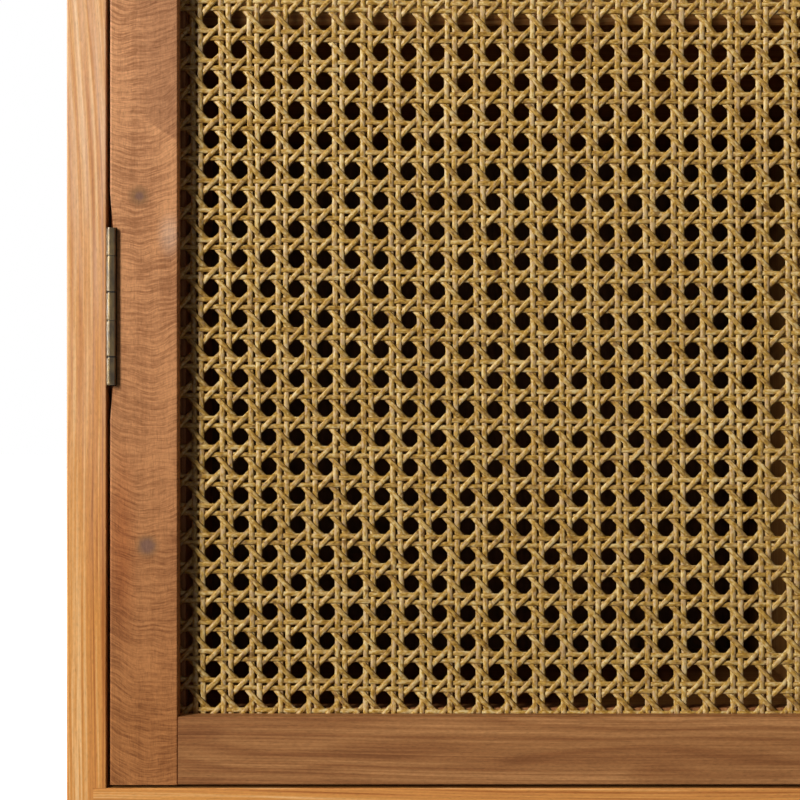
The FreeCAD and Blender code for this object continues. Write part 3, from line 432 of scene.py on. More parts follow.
def rippleWood(name, order, centre, seed, knots=(), sheenAndTonePatches=(), veil=None):
    # oiled figured cherry: curved ripples, soft grey knots and clouds
    look = rippleLook
    material, make = newMaterial(name)
    through, across, along = grainSpace(make, order, centre)
    lift = make("Math", {"operation": "ADD"}, {0: along, 1: seed * grainLook["boardStep"]})
    vector = make("CombineXYZ", None, {0: through, 1: across, 2: lift})
    figure = rippleFigure(make, through, across, along, lift, vector)
    figureStops = [(0.0, look["darkest"]), (0.5, grey(1.0)), (1.0, look["lightest"])]
    shade = make("ValToRGB", None, {0: figure}, figureStops)
    # lighter towards the top: partly the wood's tone, partly painted light
    low, high = look["riseMm"]
    rise = make("MapRange", None, {0: along, 1: low, 2: high})
    toneAndLightRise = {0: rise, 6: hexColour(look["low"]), 7: hexColour(look["high"])}
    plain = make("Mix", asColour, toneAndLightRise).outputs[2]
    colour = make("Mix", timesColour, {0: 1.0, 6: plain, 7: shade}).outputs[2]
    face = make("CombineXYZ", None, {1: across, 2: along})

    # patches: a screened pale one is a painted sheen, a multiplied one tints the wood darker
    for blend, share, (x, z), (wide, tall), tint in sheenAndTonePatches:
        placed = {0: face, 1: (0.0, 1 / wide, 1 / tall), 2: (0.0, -x / wide, -z / tall)}
        away = make("VectorMath", timesPlus, placed)
        reach = make("VectorMath", {"operation": "LENGTH"}, {0: away}).outputs["Value"]
        mask = make("MapRange", smoothly, {0: reach, 1: 1.0, 2: 0.1, 4: share})
        settings = {"data_type": "RGBA", "blend_type": blend}
        sheenAndToneMix = {0: mask, 6: colour, 7: hexColour(tint)}
        colour = make("Mix", settings, sheenAndToneMix).outputs[2]
    if veil:  # a browner field with a slanting lower edge
        (x, z), slope, tint = veil
        height = make("Math", timesPlus, {0: across, 1: slope, 2: along})
        first, last = (z + x * slope + edge for edge in look["veilEdgeMm"])
        above = make("MapRange", smoothly, {0: height, 1: first, 2: last})
        first, last = (x + edge for edge in look["veilSideMm"])
        inside = make("MapRange", smoothly, {0: across, 1: first, 2: last})
        mask = make("Math", times, {0: above, 1: inside})
        veiled = {0: mask, 6: colour, 7: hexColour(tint)}
        colour = make("Mix", timesColour, veiled).outputs[2]
    for (x, z), size, core in knots:
        away = make("VectorMath", {"operation": "DISTANCE"}, {0: face, 1: (0.0, x, z)})
        rag = grainNoise(make, vector, (2.4, 2.4), offset=71.0)
        edge = {0: rag, 1: look["raggedMm"], 2: away.outputs["Value"]}
        ragged = make("Math", timesPlus, edge)
        for code, radius in ((look["knotHalo"], look["haloMm"] * size), (look["knotCore"], core)):
            reach = {0: ragged, 1: radius + 1.6, 2: radius * 0.5 + 0.6, 4: look["knotShare"]}
            mask = make("MapRange", smoothly, reach)
            knotted = {0: mask, 6: colour, 7: hexColour(code)}
            colour = make("Mix", asColour, knotted).outputs[2]
    finishWood(make, vector, colour, look["finish"])
    return material


# node: wood, the axes through the board, across it and along its grain, and its seed
boards = {
    "left_side_panel": ("case", "XYZ", 1.0),
    "right_side_panel": ("case", "XYZ", 2.3),
    "top_panel": ("case", "ZYX", 3.1),
    "bottom_panel": ("case", "ZYX", 4.7),
    "centre_partition": ("case", "XYZ", 5.2),
    "left_shelf": ("case", "ZYX", 6.9),
    "right_shelf": ("case", "ZYX", 7.4),
    "left_door_bottom_rail": ("frame", "YZX", 8.8),
    "left_door_top_rail": ("frame", "YZX", 9.1),
    "right_door_bottom_rail": ("frame", "YZX", 10.6),
    "right_door_top_rail": ("frame", "YZX", 11.9),
    "left_door_cane_beads": ("frame", "YXZ", 12.2),
    "right_door_cane_beads": ("frame", "YXZ", 13.5),
    "front_left_leg": ("stand", "YXZ", 14.1),
    "front_right_leg": ("stand", "YXZ", 15.8),
    "rear_left_leg": ("stand", "YXZ", 16.3),
    "rear_right_leg": ("stand", "YXZ", 17.7),
    "front_apron": ("stand", "YZX", 18.2),
    "rear_apron": ("stand", "YZX", 19.9),
    "left_side_apron": ("stand", "XZY", 20.4),
    "right_side_apron": ("stand", "XZY", 21.6),
    "stand_cross_rail": ("stand", "XZY", 22.5),
    "corner_blocks": ("stand", "YXZ", 23.3),
}
# the painted sheen of the side panels: the heights in mm from the board's middle between which it
# gets paler, how much, and the tint
paintedTopSheen = ((-270.0, -30.0), 0.2, "#FFE9D4")
for node, (kind, order, seed) in boards.items():
    topSheen = paintedTopSheen if node.endswith("side_panel") else None
    oiled = boardWood(f"cherryOiled_{node}", kind, order, middleOf(node), seed, topSheen)
    dress(nodes[node], oiled)
dress(nodes["top_dowels"], boardWood("beechBare", "dowel", "YXZ", middleOf("top_dowels"), 24.1))

# places are across and along the stile, in mm from its middle
stiles = {
    "left_door_hinge_stile": {
        "seed": 0.0,
        # place, size, and the core's radius in mm
        "knots": [((-2.1, -91.6), 1.0, 2.1), ((1.4, -248.7), 1.12, 3.9)],
        # how it blends and how strongly, place, half its width and height, tint; the screened pale
        # patch is a painted sheen, the multiplied one a darker tone of the wood
        "sheenAndTonePatches": [
            ("SCREEN", 0.16, (11.5, -109.0), (7.0, 13.0), "#FFE9D4"),
            ("MULTIPLY", 1.0, (-10.0, -250.0), (9.0, 60.0), "#EEDACC"),
        ],
        # its corner's place, the slope of its lower edge, tint
        "veil": ((4.5, -60.1), 0.64, "#E0DCDC"),
    },
    "left_door_meeting_stile": {"seed": 1.7, "knots": [((3.0, 140.0), 0.9, 2.0)]},
    "right_door_hinge_stile": {"seed": 2.9, "knots": [((-3.0, 71.0), 1.05, 3.0)]},
    "right_door_meeting_stile": {"seed": 3.6, "knots": [((2.0, -207.0), 0.95, 2.4)]},
}
for node, marks in stiles.items():
    dress(nodes[node], rippleWood(f"cherryFigured_{node}", "YXZ", middleOf(node), **marks))
print("stage: wood dressed")

plywoodLook = {
    "plyMm": 1.2,
    "innerMm": 2.95,  # the faces lie farther out than this from the middle
    "plies": (0.5, 0.4),
    "swirl": (60.0, 420.0),
    "swirlRings": 30.0,
    "face": "#86705C",
    "edge": "#6B5238",
    "finish": {"roughness": 0.62, "fibres": 0.12, "mottle": 0.1, "pores": 0.8},
}


def plywood(name, centre):
    # birch plywood stained brown: the rotary-cut figure shows faintly, and plies at the edges
    look = plywoodLook
    material, make = newMaterial(name)
    through, across, along = grainSpace(make, "YXZ", centre)
    vector = make("CombineXYZ", None, {0: through, 1: across, 2: along})
    layer = make("Math", {"operation": "DIVIDE"}, {0: through, 1: look["plyMm"] * 2})
    part = make("Math", {"operation": "FRACT"}, {0: layer})
    swirl = grainNoise(make, vector, look["swirl"])
    rings = make("Math", times, {0: swirl, 1: look["swirlRings"]})
    figure = make("Math", {"operation": "PINGPONG"}, {0: rings, 1: 1.0})
    depth = make("Math", {"operation": "ABSOLUTE"}, {0: through})
    inner = make("Math", {"operation": "LESS_THAN"}, {0: depth, 1: look["innerMm"]})
    ply = make("Math", timesPlus, {0: part, 1: look["plies"][0], 2: look["plies"][1]})
    edged = make("Math", times, {0: ply, 1: inner})
    layered = {0: edged, 6: hexColour(look["face"]), 7: hexColour(look["edge"])}
    base = make("Mix", asColour, layered).outputs[2]
    shade = make("ValToRGB", None, {0: figure}, [(0.0, grey(0.86)), (1.0, grey(1.16))])
    colour = make("Mix", timesColour, {0: 1.0, 6: base, 7: shade}).outputs[2]
    finishWood(make, vector, colour, look["finish"])
    return material


for node in ("left_back_panel", "right_back_panel"):
    dress(nodes[node], plywood(f"birchPlywoodStained_{node}", middleOf(node)))

caneLook = {
    "frameWidth": 30.5,  # mm from the door's edge to the lip round the cane
    "firstHole": (13.74, 6.09),  # first hole's middle, from the lower left inner corner of the lip
    "pitchAcross": 12.857,  # mm between holes
    "pitchDown": 13.398,
    "width": {"upright": 2.6, "level": 2.3, "rising": 2.4, "falling": 2.4},
    "hem": 0.6,  # of a strand's width, kept clear at the sheet's edges
    "shoulder": 0.64,  # where the rounded face turns down, as a share of half the width
    "crown": 0.6,  # mm in front of the strand's middle, at its edges, and behind it
    "edge": 0.1,
    "back": 0.36,
    "uprightAt": 0.3687,  # from a hole's middle to the strands beside it, in pitches
    "levelAt": 0.3777,
    "weaveStraight": 0.42,  # how far the upright and level strands swing, mm
    "weaveDiagonal": 0.78,
    "overtone": 0.35,  # of a second wave in a straight strand's swing, and the height both reach
    "overtonePeak": 1.14,
    "steepness": 2.2,  # of a slanting strand between front and back
    "ringsStraight": 6,  # rings of points in one pitch
    "ringsDiagonal": 8,
    "strandWander": 0.34,  # mm that a strand strays by itself, sideways and in depth
    "depthWander": 0.12,
    "strandWave": 34.0,  # mm along it from one bend to the next
    "strandApart": 9.0,  # mm across which strands stray alike
    "sheetWander": 0.5,  # mm that the whole weave strays
    "sheetWave": 80.0,
    "sheetSeed": 1,  # without one, the weave strays differently at each run
    # mm that the sheet was pulled out of true when it was fixed, over so many holes
    "drift": {"moveX": 0.64, "turnX": 0.68, "moveZ": 0.43, "tiltZ": 1.64, "bowZ": 1.36},
    "driftHoles": (20.0, 21.0),
}
weaveDirection = {"upright": (0, 1), "level": (1, 0), "rising": (1, 1), "falling": (1, -1)}
noise.seed_set(caneLook["sheetSeed"])

caneLow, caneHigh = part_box("left_door_cane_panel")
hem = caneLook["width"]["upright"] * mm * caneLook["hem"]
sheetLow = Vector((caneLow.x + hem, 0, caneLow.z + hem))
sheetHigh = Vector((caneHigh.x - hem, 0, caneHigh.z - hem))
sheetDepth = (caneLow.y + caneHigh.y) / 2
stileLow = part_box("left_door_hinge_stile")[0]
fromEdge = [(caneLook["frameWidth"] + value) * mm for value in caneLook["firstHole"]]
firstHole = Vector((stileLow.x + fromEdge[0], 0, stileLow.z + fromEdge[1]))
pitchX, pitchZ = caneLook["pitchAcross"] * mm, caneLook["pitchDown"] * mm
# the sheet's edges, in pitches from the first hole's middle
reachX = [(corner.x - firstHole.x) / pitchX for corner in (sheetLow, sheetHigh)]
reachZ = [(corner.z - firstHole.z) / pitchZ for corner in (sheetLow, sheetHigh)]


def canePoint(a, b):
    # so many pitches across and up from the first hole's middle
    return Vector((firstHole.x + a * pitchX, sheetDepth, firstHole.z + b * pitchZ))


def straightSwing(phase):
    # an upright or level strand's height along its length: over one crossing strand, under the next
    turn = 2 * math.pi * phase
    return (math.sin(turn) - caneLook["overtone"] * math.sin(2 * turn)) / caneLook["overtonePeak"]


def diagonalSwing(phase):
    steep = caneLook["steepness"]
    return math.tanh(steep * math.cos(2 * math.pi * phase)) / math.tanh(steep)


def strand(kind, start, step, rings):
    # one split cane, rounded in front and flat behind, pushed along ring by ring
    bm = bmesh.new()
    section = bmesh.ops.create_circle(bm, segments=6, radius=1.0, cap_ends=True)["verts"]
    along = step.normalized()
    across = Vector((along.z, 0.0, -along.x)) * caneLook["width"][kind] / 2
    for v in section:
        wide = caneLook["shoulder"]
        depth = caneLook["crown"] if v.co.x > 0 else -caneLook["back"]
        if abs(v.co.y) > 0.9:  # on the strand's edges
            wide, depth = 1.0, caneLook["edge"]
        side = across * math.copysign(wide, v.co.y)
        v.co = start + (side - Vector((0, depth, 0))) * mm
    whole = bm.verts[:] + bm.edges[:] + bm.faces[:]
    bmesh.ops.spin(bm, geom=whole, axis=(0, 1, 0), dvec=step, angle=0.0, steps=rings)
    bmesh.ops.holes_fill(bm, edges=[e for e in bm.edges if e.is_boundary], sides=0)
    bmesh.ops.recalc_face_normals(bm, faces=bm.faces)
    single = bpy.data.meshes.new("strand")
    bm.to_mesh(single)
    bm.free()
    return single


def addStrand(weave, single):
    weave.from_mesh(single)
    bpy.data.meshes.remove(single)


def straightStrands(weave, kind):
    # two strands beside each row of holes
    isUpright = kind == "upright"
    (first, last), (start, end) = (reachX, reachZ) if isUpright else (reachZ, reachX)
    rings = int((end - start) * caneLook["ringsStraight"])
    step = Vector((0, 0, pitchZ)) if isUpright else Vector((pitchX, 0, 0))
    pattern = strand(kind, canePoint(0, 0), step / caneLook["ringsStraight"], rings)
    for hole in range(math.floor(first), math.ceil(last) + 1):
        for line in (hole - caneLook[kind + "At"], hole + caneLook[kind + "At"]):
            if first < line < last:
                copy = pattern.copy()
                spot = canePoint(line, start) if isUpright else canePoint(start, line)
                copy.transform(Matrix.Translation(spot - canePoint(0, 0)))
                addStrand(weave, copy)
    bpy.data.meshes.remove(pattern)


def diagonalStrands(weave, kind):
    # one strand between the holes of each slanting row, where b = rise * a + line
    rise = weaveDirection[kind][1]
    step = Vector((pitchX, 0, rise * pitchZ)) / caneLook["ringsDiagonal"]
    lowest = min(reachZ[0] - rise * a for a in reachX)
    highest = max(reachZ[1] - rise * a for a in reachX)
    for index in range(math.floor(lowest), math.ceil(highest)):
        line = index + 0.5
        begin, end = sorted(((reachZ[0] - line) * rise, (reachZ[1] - line) * rise))
        begin, end = max(reachX[0], begin), min(reachX[1], end)
        rings = int((end - begin) * caneLook["ringsDiagonal"])
        if rings > 2:
            addStrand(weave, strand(kind, canePoint(begin, rise * begin + line), step, rings))


def weaveHeight(kind, a, b):
    # how far in front of the sheet's middle a strand lies at this point, mm
    dx, dz = weaveDirection[kind]
    if dx and dz:
        line = round(b - dz * a - 0.5) + 0.5
        phase = (a + dz * (b - line)) / 2
        return dz * diagonalSwing(phase) * caneLook["weaveDiagonal"]
    if dx:
        return straightSwing(a) * (1 if b > round(b) else -1) * caneLook["weaveStraight"]
    return straightSwing(b) * (1 if a < round(a) else -1) * caneLook["weaveStraight"]


def caneSet(kind):
    # every strand of one direction in the left door's sheet, woven and pulled a little out of true
    weave = bmesh.new()
    if kind in ("upright", "level"):
        straightStrands(weave, kind)
    else:
        diagonalStrands(weave, kind)
    dx, dz = weaveDirection[kind]
    aim = Vector((dx * pitchX, dz * pitchZ)).normalized()
    order = list(weaveDirection).index(kind)
    drift = caneLook["drift"]
    holesAcross, holesDown = caneLook["driftHoles"]
    for v in weave.verts:
        a, b = (v.co.x - firstHole.x) / pitchX, (v.co.z - firstHole.z) / pitchZ
        u, w = v.co.x * aim.x + v.co.z * aim.y, v.co.z * aim.x - v.co.x * aim.y
        own = Vector((
            u / (caneLook["strandWave"] * mm),
            5.0 * order,
            w / (caneLook["strandApart"] * mm),
        ))
        stray = noise.noise(own) * caneLook["strandWander"]
        lift = noise.noise(own + Vector((9, 0, 0))) * caneLook["depthWander"]
        sheet = noise.noise_vector(Vector((v.co.x, 0.5, v.co.z)) / (caneLook["sheetWave"] * mm))
        pullX = drift["moveX"] + drift["turnX"] * math.cos(math.pi * b / holesDown)
        pullZ = drift["moveZ"] - drift["tiltZ"] * math.sin(math.pi * a / 2 / holesAcross)
        pullZ -= drift["bowZ"] * math.sin(math.pi * b / holesDown)
        v.co.x += (pullX - stray * aim.y + sheet.x * caneLook["sheetWander"]) * mm
        v.co.y -= (weaveHeight(kind, a, b) + lift) * mm
        v.co.z += (pullZ + stray * aim.x + sheet.z * caneLook["sheetWander"]) * mm
    return weave


def objectFrom(name, bm, smooth=True):
    mesh = bpy.data.meshes.new(name)
    bm.to_mesh(mesh)
    bm.free()
    mesh.polygons.foreach_set("use_smooth", [smooth] * len(mesh.polygons))
    made = bpy.data.objects.new(name, mesh)
    bpy.context.scene.collection.objects.link(made)
    return made


def mirrored(name, piece):
    # the same piece on the right-hand side
    bm = bmesh.new()
    bm.from_mesh(piece.data)
    bmesh.ops.scale(bm, vec=(-1, 1, 1), verts=bm.verts)
    bmesh.ops.reverse_faces(bm, faces=bm.faces)
    return objectFrom(name, bm)


caneColours = {
    "tones": [(0.02, "#77521A"), (0.32, "#A27A30"), (0.62, "#BC9448"), (0.96, "#D6BC82")],
    "weights": (0.26, 0.5, 0.28),  # of whole strands, blotches and fibres
    # each direction of strand is painted lighter or darker as it catches the light; the pale patches
    # are partly dust, partly a painted sheen, most on the upright strands
    "paler": {"upright": 0.06, "level": -0.04, "rising": 0.03, "falling": -0.06},
    "dustAndSheenTint": "#BDA07C",
    "dustAndSheenShare": {"upright": 0.65, "level": 0.22, "rising": 0.4, "falling": 0.25},
    "joint": "#6E4C22",
    # painted shade where the strands pass behind one another, deeper in the weave
    "crossingShade": (0.5, 0.45, 0.375, 1.0),  # what the crossings multiply the colour by
    "crossingShadeMm": (-0.2, 0.5),  # behind the sheet's middle
    # painted light falloff: the cane is painted darker low down and lighter high up
    "paintedFalloff": ((170.0, 0.94), (470.0, 1.03)),  # heights in mm, and how light the cane is there
    # how wide and how long the patterns are, mm
    "strand": (4.0, 210.0),
    "blotch": (1.2, 2.2),
    "fibre": (0.4, 7.0),
    "joints": (4.2, 3.2),
    "dustAndSheen": (1.5, 2.4),
}


def splitCane(name, kind, turn):
    # split rattan, glossy rind outside: straw to golden brown with long fibres, darker where canes
    # were joined, with painted shade in the crossings and a painted light falloff lower down
    look = caneColours
    material, make = newMaterial(name)
    coords = make("TexCoord").outputs["Object"]
    axes = make("SeparateXYZ", None, {0: coords}).outputs
    inMm = {0: coords, "Rotation": (0.0, turn, 0.0), "Scale": (1 / mm, 1 / mm, 1 / mm)}
    turned = make("Mapping", None, inMm)

    strands = grainNoise(make, turned, look["strand"], detail=1.0)
    blotches = grainNoise(make, turned, look["blotch"], detail=3.0, offset=8.0)
    fibres = grainNoise(make, turned, look["fibre"], detail=3.0, offset=4.0)
    # painted light: this direction's strands are painted lighter or darker
    paler = look["paler"][kind]
    parts = (
        make("MapRange", None, {0: strands, 1: 0.3, 2: 0.7}),
        make("MapRange", None, {0: blotches, 1: 0.36, 2: 0.64}),
        make("MapRange", None, {0: fibres, 1: 0.3, 2: 0.7, 3: paler, 4: paler + 1}),
    )
    tone = weighed(make, zip(parts, look["weights"]))
    tone = make("MapRange", None, {0: tone, 1: 0.16, 2: 0.84})
    stops = [(place, hexColour(code)) for place, code in look["tones"]]
    colour = make("ValToRGB", None, {0: tone}, stops)

    # pale patches, partly dust and partly a painted sheen
    clouds = grainNoise(make, turned, look["dustAndSheen"], offset=19.0)
    dustAndSheenShare = look["dustAndSheenShare"][kind]
    dustAndSheen = make("MapRange", smoothly, {0: clouds, 1: 0.46, 2: 0.62, 4: dustAndSheenShare})
    joints = grainNoise(make, turned, look["joints"], detail=0.0, offset=12.0)
    joined = make("MapRange", smoothly, {0: joints, 1: 0.75, 2: 0.8, 4: 0.8})
    for mask, code in ((dustAndSheen, look["dustAndSheenTint"]), (joined, look["joint"])):
        tinted = {0: mask, 6: colour, 7: hexColour(code)}
        colour = make("Mix", asColour, tinted).outputs[2]
    # painted light falloff with height
    (low, dull), (high, bright) = look["paintedFalloff"]
    inputs = {0: axes["Z"], 1: low * mm, 2: high * mm, 3: dull, 4: bright}
    paintedFalloff = make("MapRange", None, inputs)
    # painted shade: the deeper parts of the weave are painted darker
    first, last = (sheetDepth + edge * mm for edge in look["crossingShadeMm"])
    crossingShade = make("MapRange", smoothly, {0: axes["Y"], 1: first, 2: last})
    crossingShadeStops = [(0.0, grey(1.0)), (1.0, look["crossingShade"])]
    dark = make("ValToRGB", None, {0: crossingShade}, crossingShadeStops)
    for shade in (paintedFalloff, dark):
        colour = make("Mix", timesColour, {0: 1.0, 6: colour, 7: shade}).outputs[2]

    inputs = {
        "Base Color": colour,
        "Roughness": make("MapRange", None, {0: fibres, 3: 0.44, 4: 0.24}),
        "Normal": make("Bump", None, {"Height": fibres, "Distance": 0.1 * mm, "Strength": 0.6}),
        "IOR": 1.5,
        "Specular IOR Level": 0.17,
    }
    closeMaterial(make, inputs)
    return material


# how far each direction is turned from upright
slope = math.atan2(caneLook["pitchDown"], caneLook["pitchAcross"])
quarter = math.pi / 2
caneTurns = {"upright": 0.0, "level": quarter, "rising": slope - quarter, "falling": quarter - slope}
canePieces = {"left": [], "right": []}
for kind, turn in caneTurns.items():
    piece = objectFrom(f"left_cane_{kind}", caneSet(kind))
    print("stage: cane", kind, len(piece.data.polygons), "faces")
    dress(piece, splitCane(f"rattanSplit_{kind}", kind, turn))
    other = mirrored(f"right_cane_{kind}", piece)
    dress(other, splitCane(f"rattanSplit_{kind}_right", kind, -turn))
    canePieces["left"].append(piece)
    canePieces["right"].append(other)
for side, made in canePieces.items():
    for piece in made:
        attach(piece, f"{side}_door")
    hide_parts(f"{side}_door_cane_panel")
print("stage: cane woven")

brassLook = {
    "light": "#5B4823",
    "dark": "#31240C",
    "jointDark": "#3A3430",
    "patina": (3.0, 5.0),  # mm
    "brush": (0.35, 9.0),
    "roughness": (0.33, 0.26),
    "reliefMm": 0.006,
    "coat": 0.7,  # old lacquer, which gives the white of the highlights
    "coatRoughness": 0.18,
}
plainLook = {"cloudMm": 9.0, "cloudShade": 0.86, "roughnessSpread": 0.08, "reliefMm": 0.02}


def objectMm(make):
    coords = make("TexCoord").outputs["Object"]
    return make("Mapping", None, {0: coords, "Scale": (1 / mm, 1 / mm, 1 / mm)})


def antiqueBrass(name, joints=()):
    # brass, brushed and darkened: olive brown with brighter rubbed places, and black in the joints
    look = brassLook
    material, make = newMaterial(name)
    space = objectMm(make)
    patina = grainNoise(make, space, look["patina"], detail=4.0)
    brush = grainNoise(make, space, look["brush"], offset=6.0)
    rubbed = make("Math", timesPlus, {0: brush, 1: 0.5, 2: patina})
    stops = [(0.58, hexColour(look["dark"])), (0.95, hexColour(look["light"]))]
    colour = make("ValToRGB", None, {0: rubbed}, stops)
    for height, half in joints:
        up = make("SeparateXYZ", None, {0: space}).outputs["Z"]
        inJoint = make("Math", {"operation": "COMPARE"}, {0: up, 1: height, 2: half})
        jointDarkened = {0: inJoint, 6: colour, 7: hexColour(look["jointDark"])}
        colour = make("Mix", timesColour, jointDarkened).outputs[2]
    rougher, smoother = look["roughness"]
    relief = {"Height": brush, "Distance": look["reliefMm"] * mm, "Strength": 0.4}
    brushed = {0: brush, 1: 0.3, 2: 0.7, 3: rougher, 4: smoother}
    inputs = {
        "Base Color": colour,
        "Roughness": make("MapRange", None, brushed),
        "Normal": make("Bump", None, relief),
        "Metallic": 1.0,
        "Coat Weight": look["coat"],
        "Coat Roughness": look["coatRoughness"],
    }
    closeMaterial(make, inputs)
    return material


def plainFinish(name, code, roughness, metallic=0.0, grainMm=0.6):
    # moulded or plated: one colour, broken by clouds and by a fine grain in sheen and relief
    look = plainLook
    material, make = newMaterial(name)
    space = objectMm(make)
    grain = grainNoise(make, space, (grainMm, grainMm), detail=3.0)
    cloud = grainNoise(make, space, (look["cloudMm"], look["cloudMm"]), offset=3.0)
    cloudStops = [(0.3, grey(look["cloudShade"])), (0.7, grey(1.0))]
    shade = make("ValToRGB", None, {0: cloud}, cloudStops)
    shaded = {0: 1.0, 6: hexColour(code), 7: shade}
    smoother, rougher = (roughness + way * look["roughnessSpread"] for way in (-1, 1))
    relief = {"Height": grain, "Distance": look["reliefMm"] * mm, "Strength": 0.5}
    inputs = {
        "Base Color": make("Mix", timesColour, shaded).outputs[2],
        "Roughness": make("MapRange", None, {0: grain, 3: smoother, 4: rougher}),
        "Normal": make("Bump", None, relief),
        "Metallic": metallic,
    }
    closeMaterial(make, inputs)
    return material


brass = antiqueBrass("brassAntiqueBrushed")
darkBrass = plainFinish("brassOxidised", "#2E2518", 0.45, metallic=1.0, grainMm=0.4)
steel = plainFinish("steelZincPlated", "#B9B7B1", 0.32, metallic=1.0, grainMm=0.4)
magnet = plainFinish("ferriteSintered", "#26262A", 0.55)
catchPlastic = plainFinish("absMouldedBrown", "#5B4030", 0.42)
nylon = plainFinish("nylonMouldedBlack", "#1D1B19", 0.4)
for side in ("left", "right"):
    for part in ("frame_leaves", "door_leaves", "frame_screws", "door_screws"):
        dress(nodes[f"{side}_hinge_{part}"], brass)
    dress(nodes[f"{side}_hinge_pins"], darkBrass)
    for part in ("knob_screw", "catch_strike", "strike_screw"):
        dress(nodes[f"{side}_{part}"], steel)
    dress(nodes[f"{side}_catch_magnet"], magnet)
    dress(nodes[f"{side}_catch_body"], catchPlastic)
for node in ("back_screws", "catch_screws", "stand_screws"):
    dress(nodes[node], steel)
dress(nodes["leg_glides"], nylon)
print("stage: metal and plastic dressed")

hingeLook = {
    "radius": 2.2,
    "sleeve": 0.03,  # the turned knuckles lie just over the leaves' own
    "length": 70.5,
    "endKnuckle": 12.5,
    "doorKnuckle": 29.0,  # from the lower door knuckle to the upper one
    "upperJoint": 16.2,  # from the joint below a door knuckle to the one above it
    "play": 0.3,
    "settled": 0.2,  # the door's knuckles close up most of the play above them
    "jointDarkMm": (0.36, 0.14),  # half the height of the darkening in the joints below and above them
    "rim": 0.05,  # rounding of each knuckle's ends
    "rimEnd": 0.6,  # where the straight barrel begins
    "steps": 40,
}
knobLook = {
    # radius and height over the door's face, mm, from the foot to the crown
    "profile": [
        (0.0, 0.0), (7.0, 0.0), (7.0, 1.9), (6.6, 2.4), (5.1, 3.1), (4.35, 4.1), (4.2, 5.4),
        (4.2, 10.2), (4.5, 11.8), (5.8, 13.3), (8.1, 14.6), (9.4, 15.7), (9.95, 17.2), (10.0, 18.6),
        (9.75, 20.2), (9.0, 21.8), (7.6, 23.0), (5.6, 23.7), (3.0, 23.95), (0.0, 24.0),
    ],
    "steps": 56,
}


def turned(bm, profile, foot, axis, steps):
    # a profile of radii and heights in mm, spun a full turn about an axis through its foot
    side = axis.orthogonal().normalized() * mm
    verts = [bm.verts.new(foot + side * radius + axis * height * mm) for radius, height in profile]
    edges = [bm.edges.new(pair) for pair in zip(verts, verts[1:])]
    bmesh.ops.spin(
        bm, geom=verts + edges, cent=foot, axis=axis, angle=2 * math.pi, steps=steps, use_merge=True
    )
    bmesh.ops.remove_doubles(bm, verts=bm.verts, dist=0.001 * mm)
    bmesh.ops.recalc_face_normals(bm, faces=bm.faces)


def knuckles(name, which):
    # the left hinges' knuckles that belong to the frame leaves (0) or to the door leaves (1)
    low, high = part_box("left_hinge_pins")
    length, end, play, rim = (hingeLook[key] for key in ("length", "endKnuckle", "play", "rim"))
    radius = hingeLook["radius"] + hingeLook["sleeve"]
    middle = (length - 3 * end - 4 * play) / 2
    foot = [(0.0, 0.0), (radius - rim, 0.0), (radius - rim * 0.3, rim * 0.3), (radius, rim)]
    foot.append((radius, hingeLook["rimEnd"]))
    bm = bmesh.new()
    for bottom in (low.z, high.z - length * mm):
        rise = 0.0
        for i, size in enumerate((end, middle, end, middle, end)):
            if i % 2 == which:
                tall = size + which * hingeLook["settled"]
                profile = foot + [(r, tall - h) for r, h in reversed(foot)]
                centre = Vector(((low.x + high.x) / 2, (low.y + high.y) / 2, bottom + rise * mm))
                turned(bm, profile, centre, Vector((0, 0, 1)), hingeLook["steps"])
            rise += size + play
    return objectFrom(name, bm)


# the joints below and above each of the door's knuckles are darkened: height and half the width, mm
pinsLow, pinsHigh = (corner.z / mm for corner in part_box("left_hinge_pins"))
below, above = hingeLook["jointDarkMm"]
darkJoints = []
for hingeFoot in (pinsLow, pinsHigh - hingeLook["length"]):
    for start in (0.0, hingeLook["doorKnuckle"]):
        joint = hingeFoot + hingeLook["endKnuckle"] + hingeLook["play"] / 2 + start
        darkJoints.append((joint, below))
        darkJoints.append((joint + hingeLook["upperJoint"], above))
knuckleBrass = antiqueBrass("brassAntiqueKnuckles", darkJoints)
for which, label in enumerate(("frame", "door")):
    left = knuckles(f"left_{label}_knuckles", which)
    for side, piece in (("left", left), ("right", mirrored(f"right_{label}_knuckles", left))):
        dress(piece, knuckleBrass)
        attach(piece, f"{side}_door" if label == "door" else "case")

knobLow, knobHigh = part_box("left_knob")
knobFoot = Vector(((knobLow.x + knobHigh.x) / 2, knobHigh.y, (knobLow.z + knobHigh.z) / 2))
knobMesh = bmesh.new()
turned(knobMesh, knobLook["profile"], knobFoot, Vector((0, -1, 0)), knobLook["steps"])
leftKnob = objectFrom("left_turned_knob", knobMesh)
for side, piece in (("left", leftKnob), ("right", mirrored("right_turned_knob", leftKnob))):
    dress(piece, brass)
    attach(piece, f"{side}_door")
    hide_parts(f"{side}_knob")
print("stage: hinges and knobs turned")

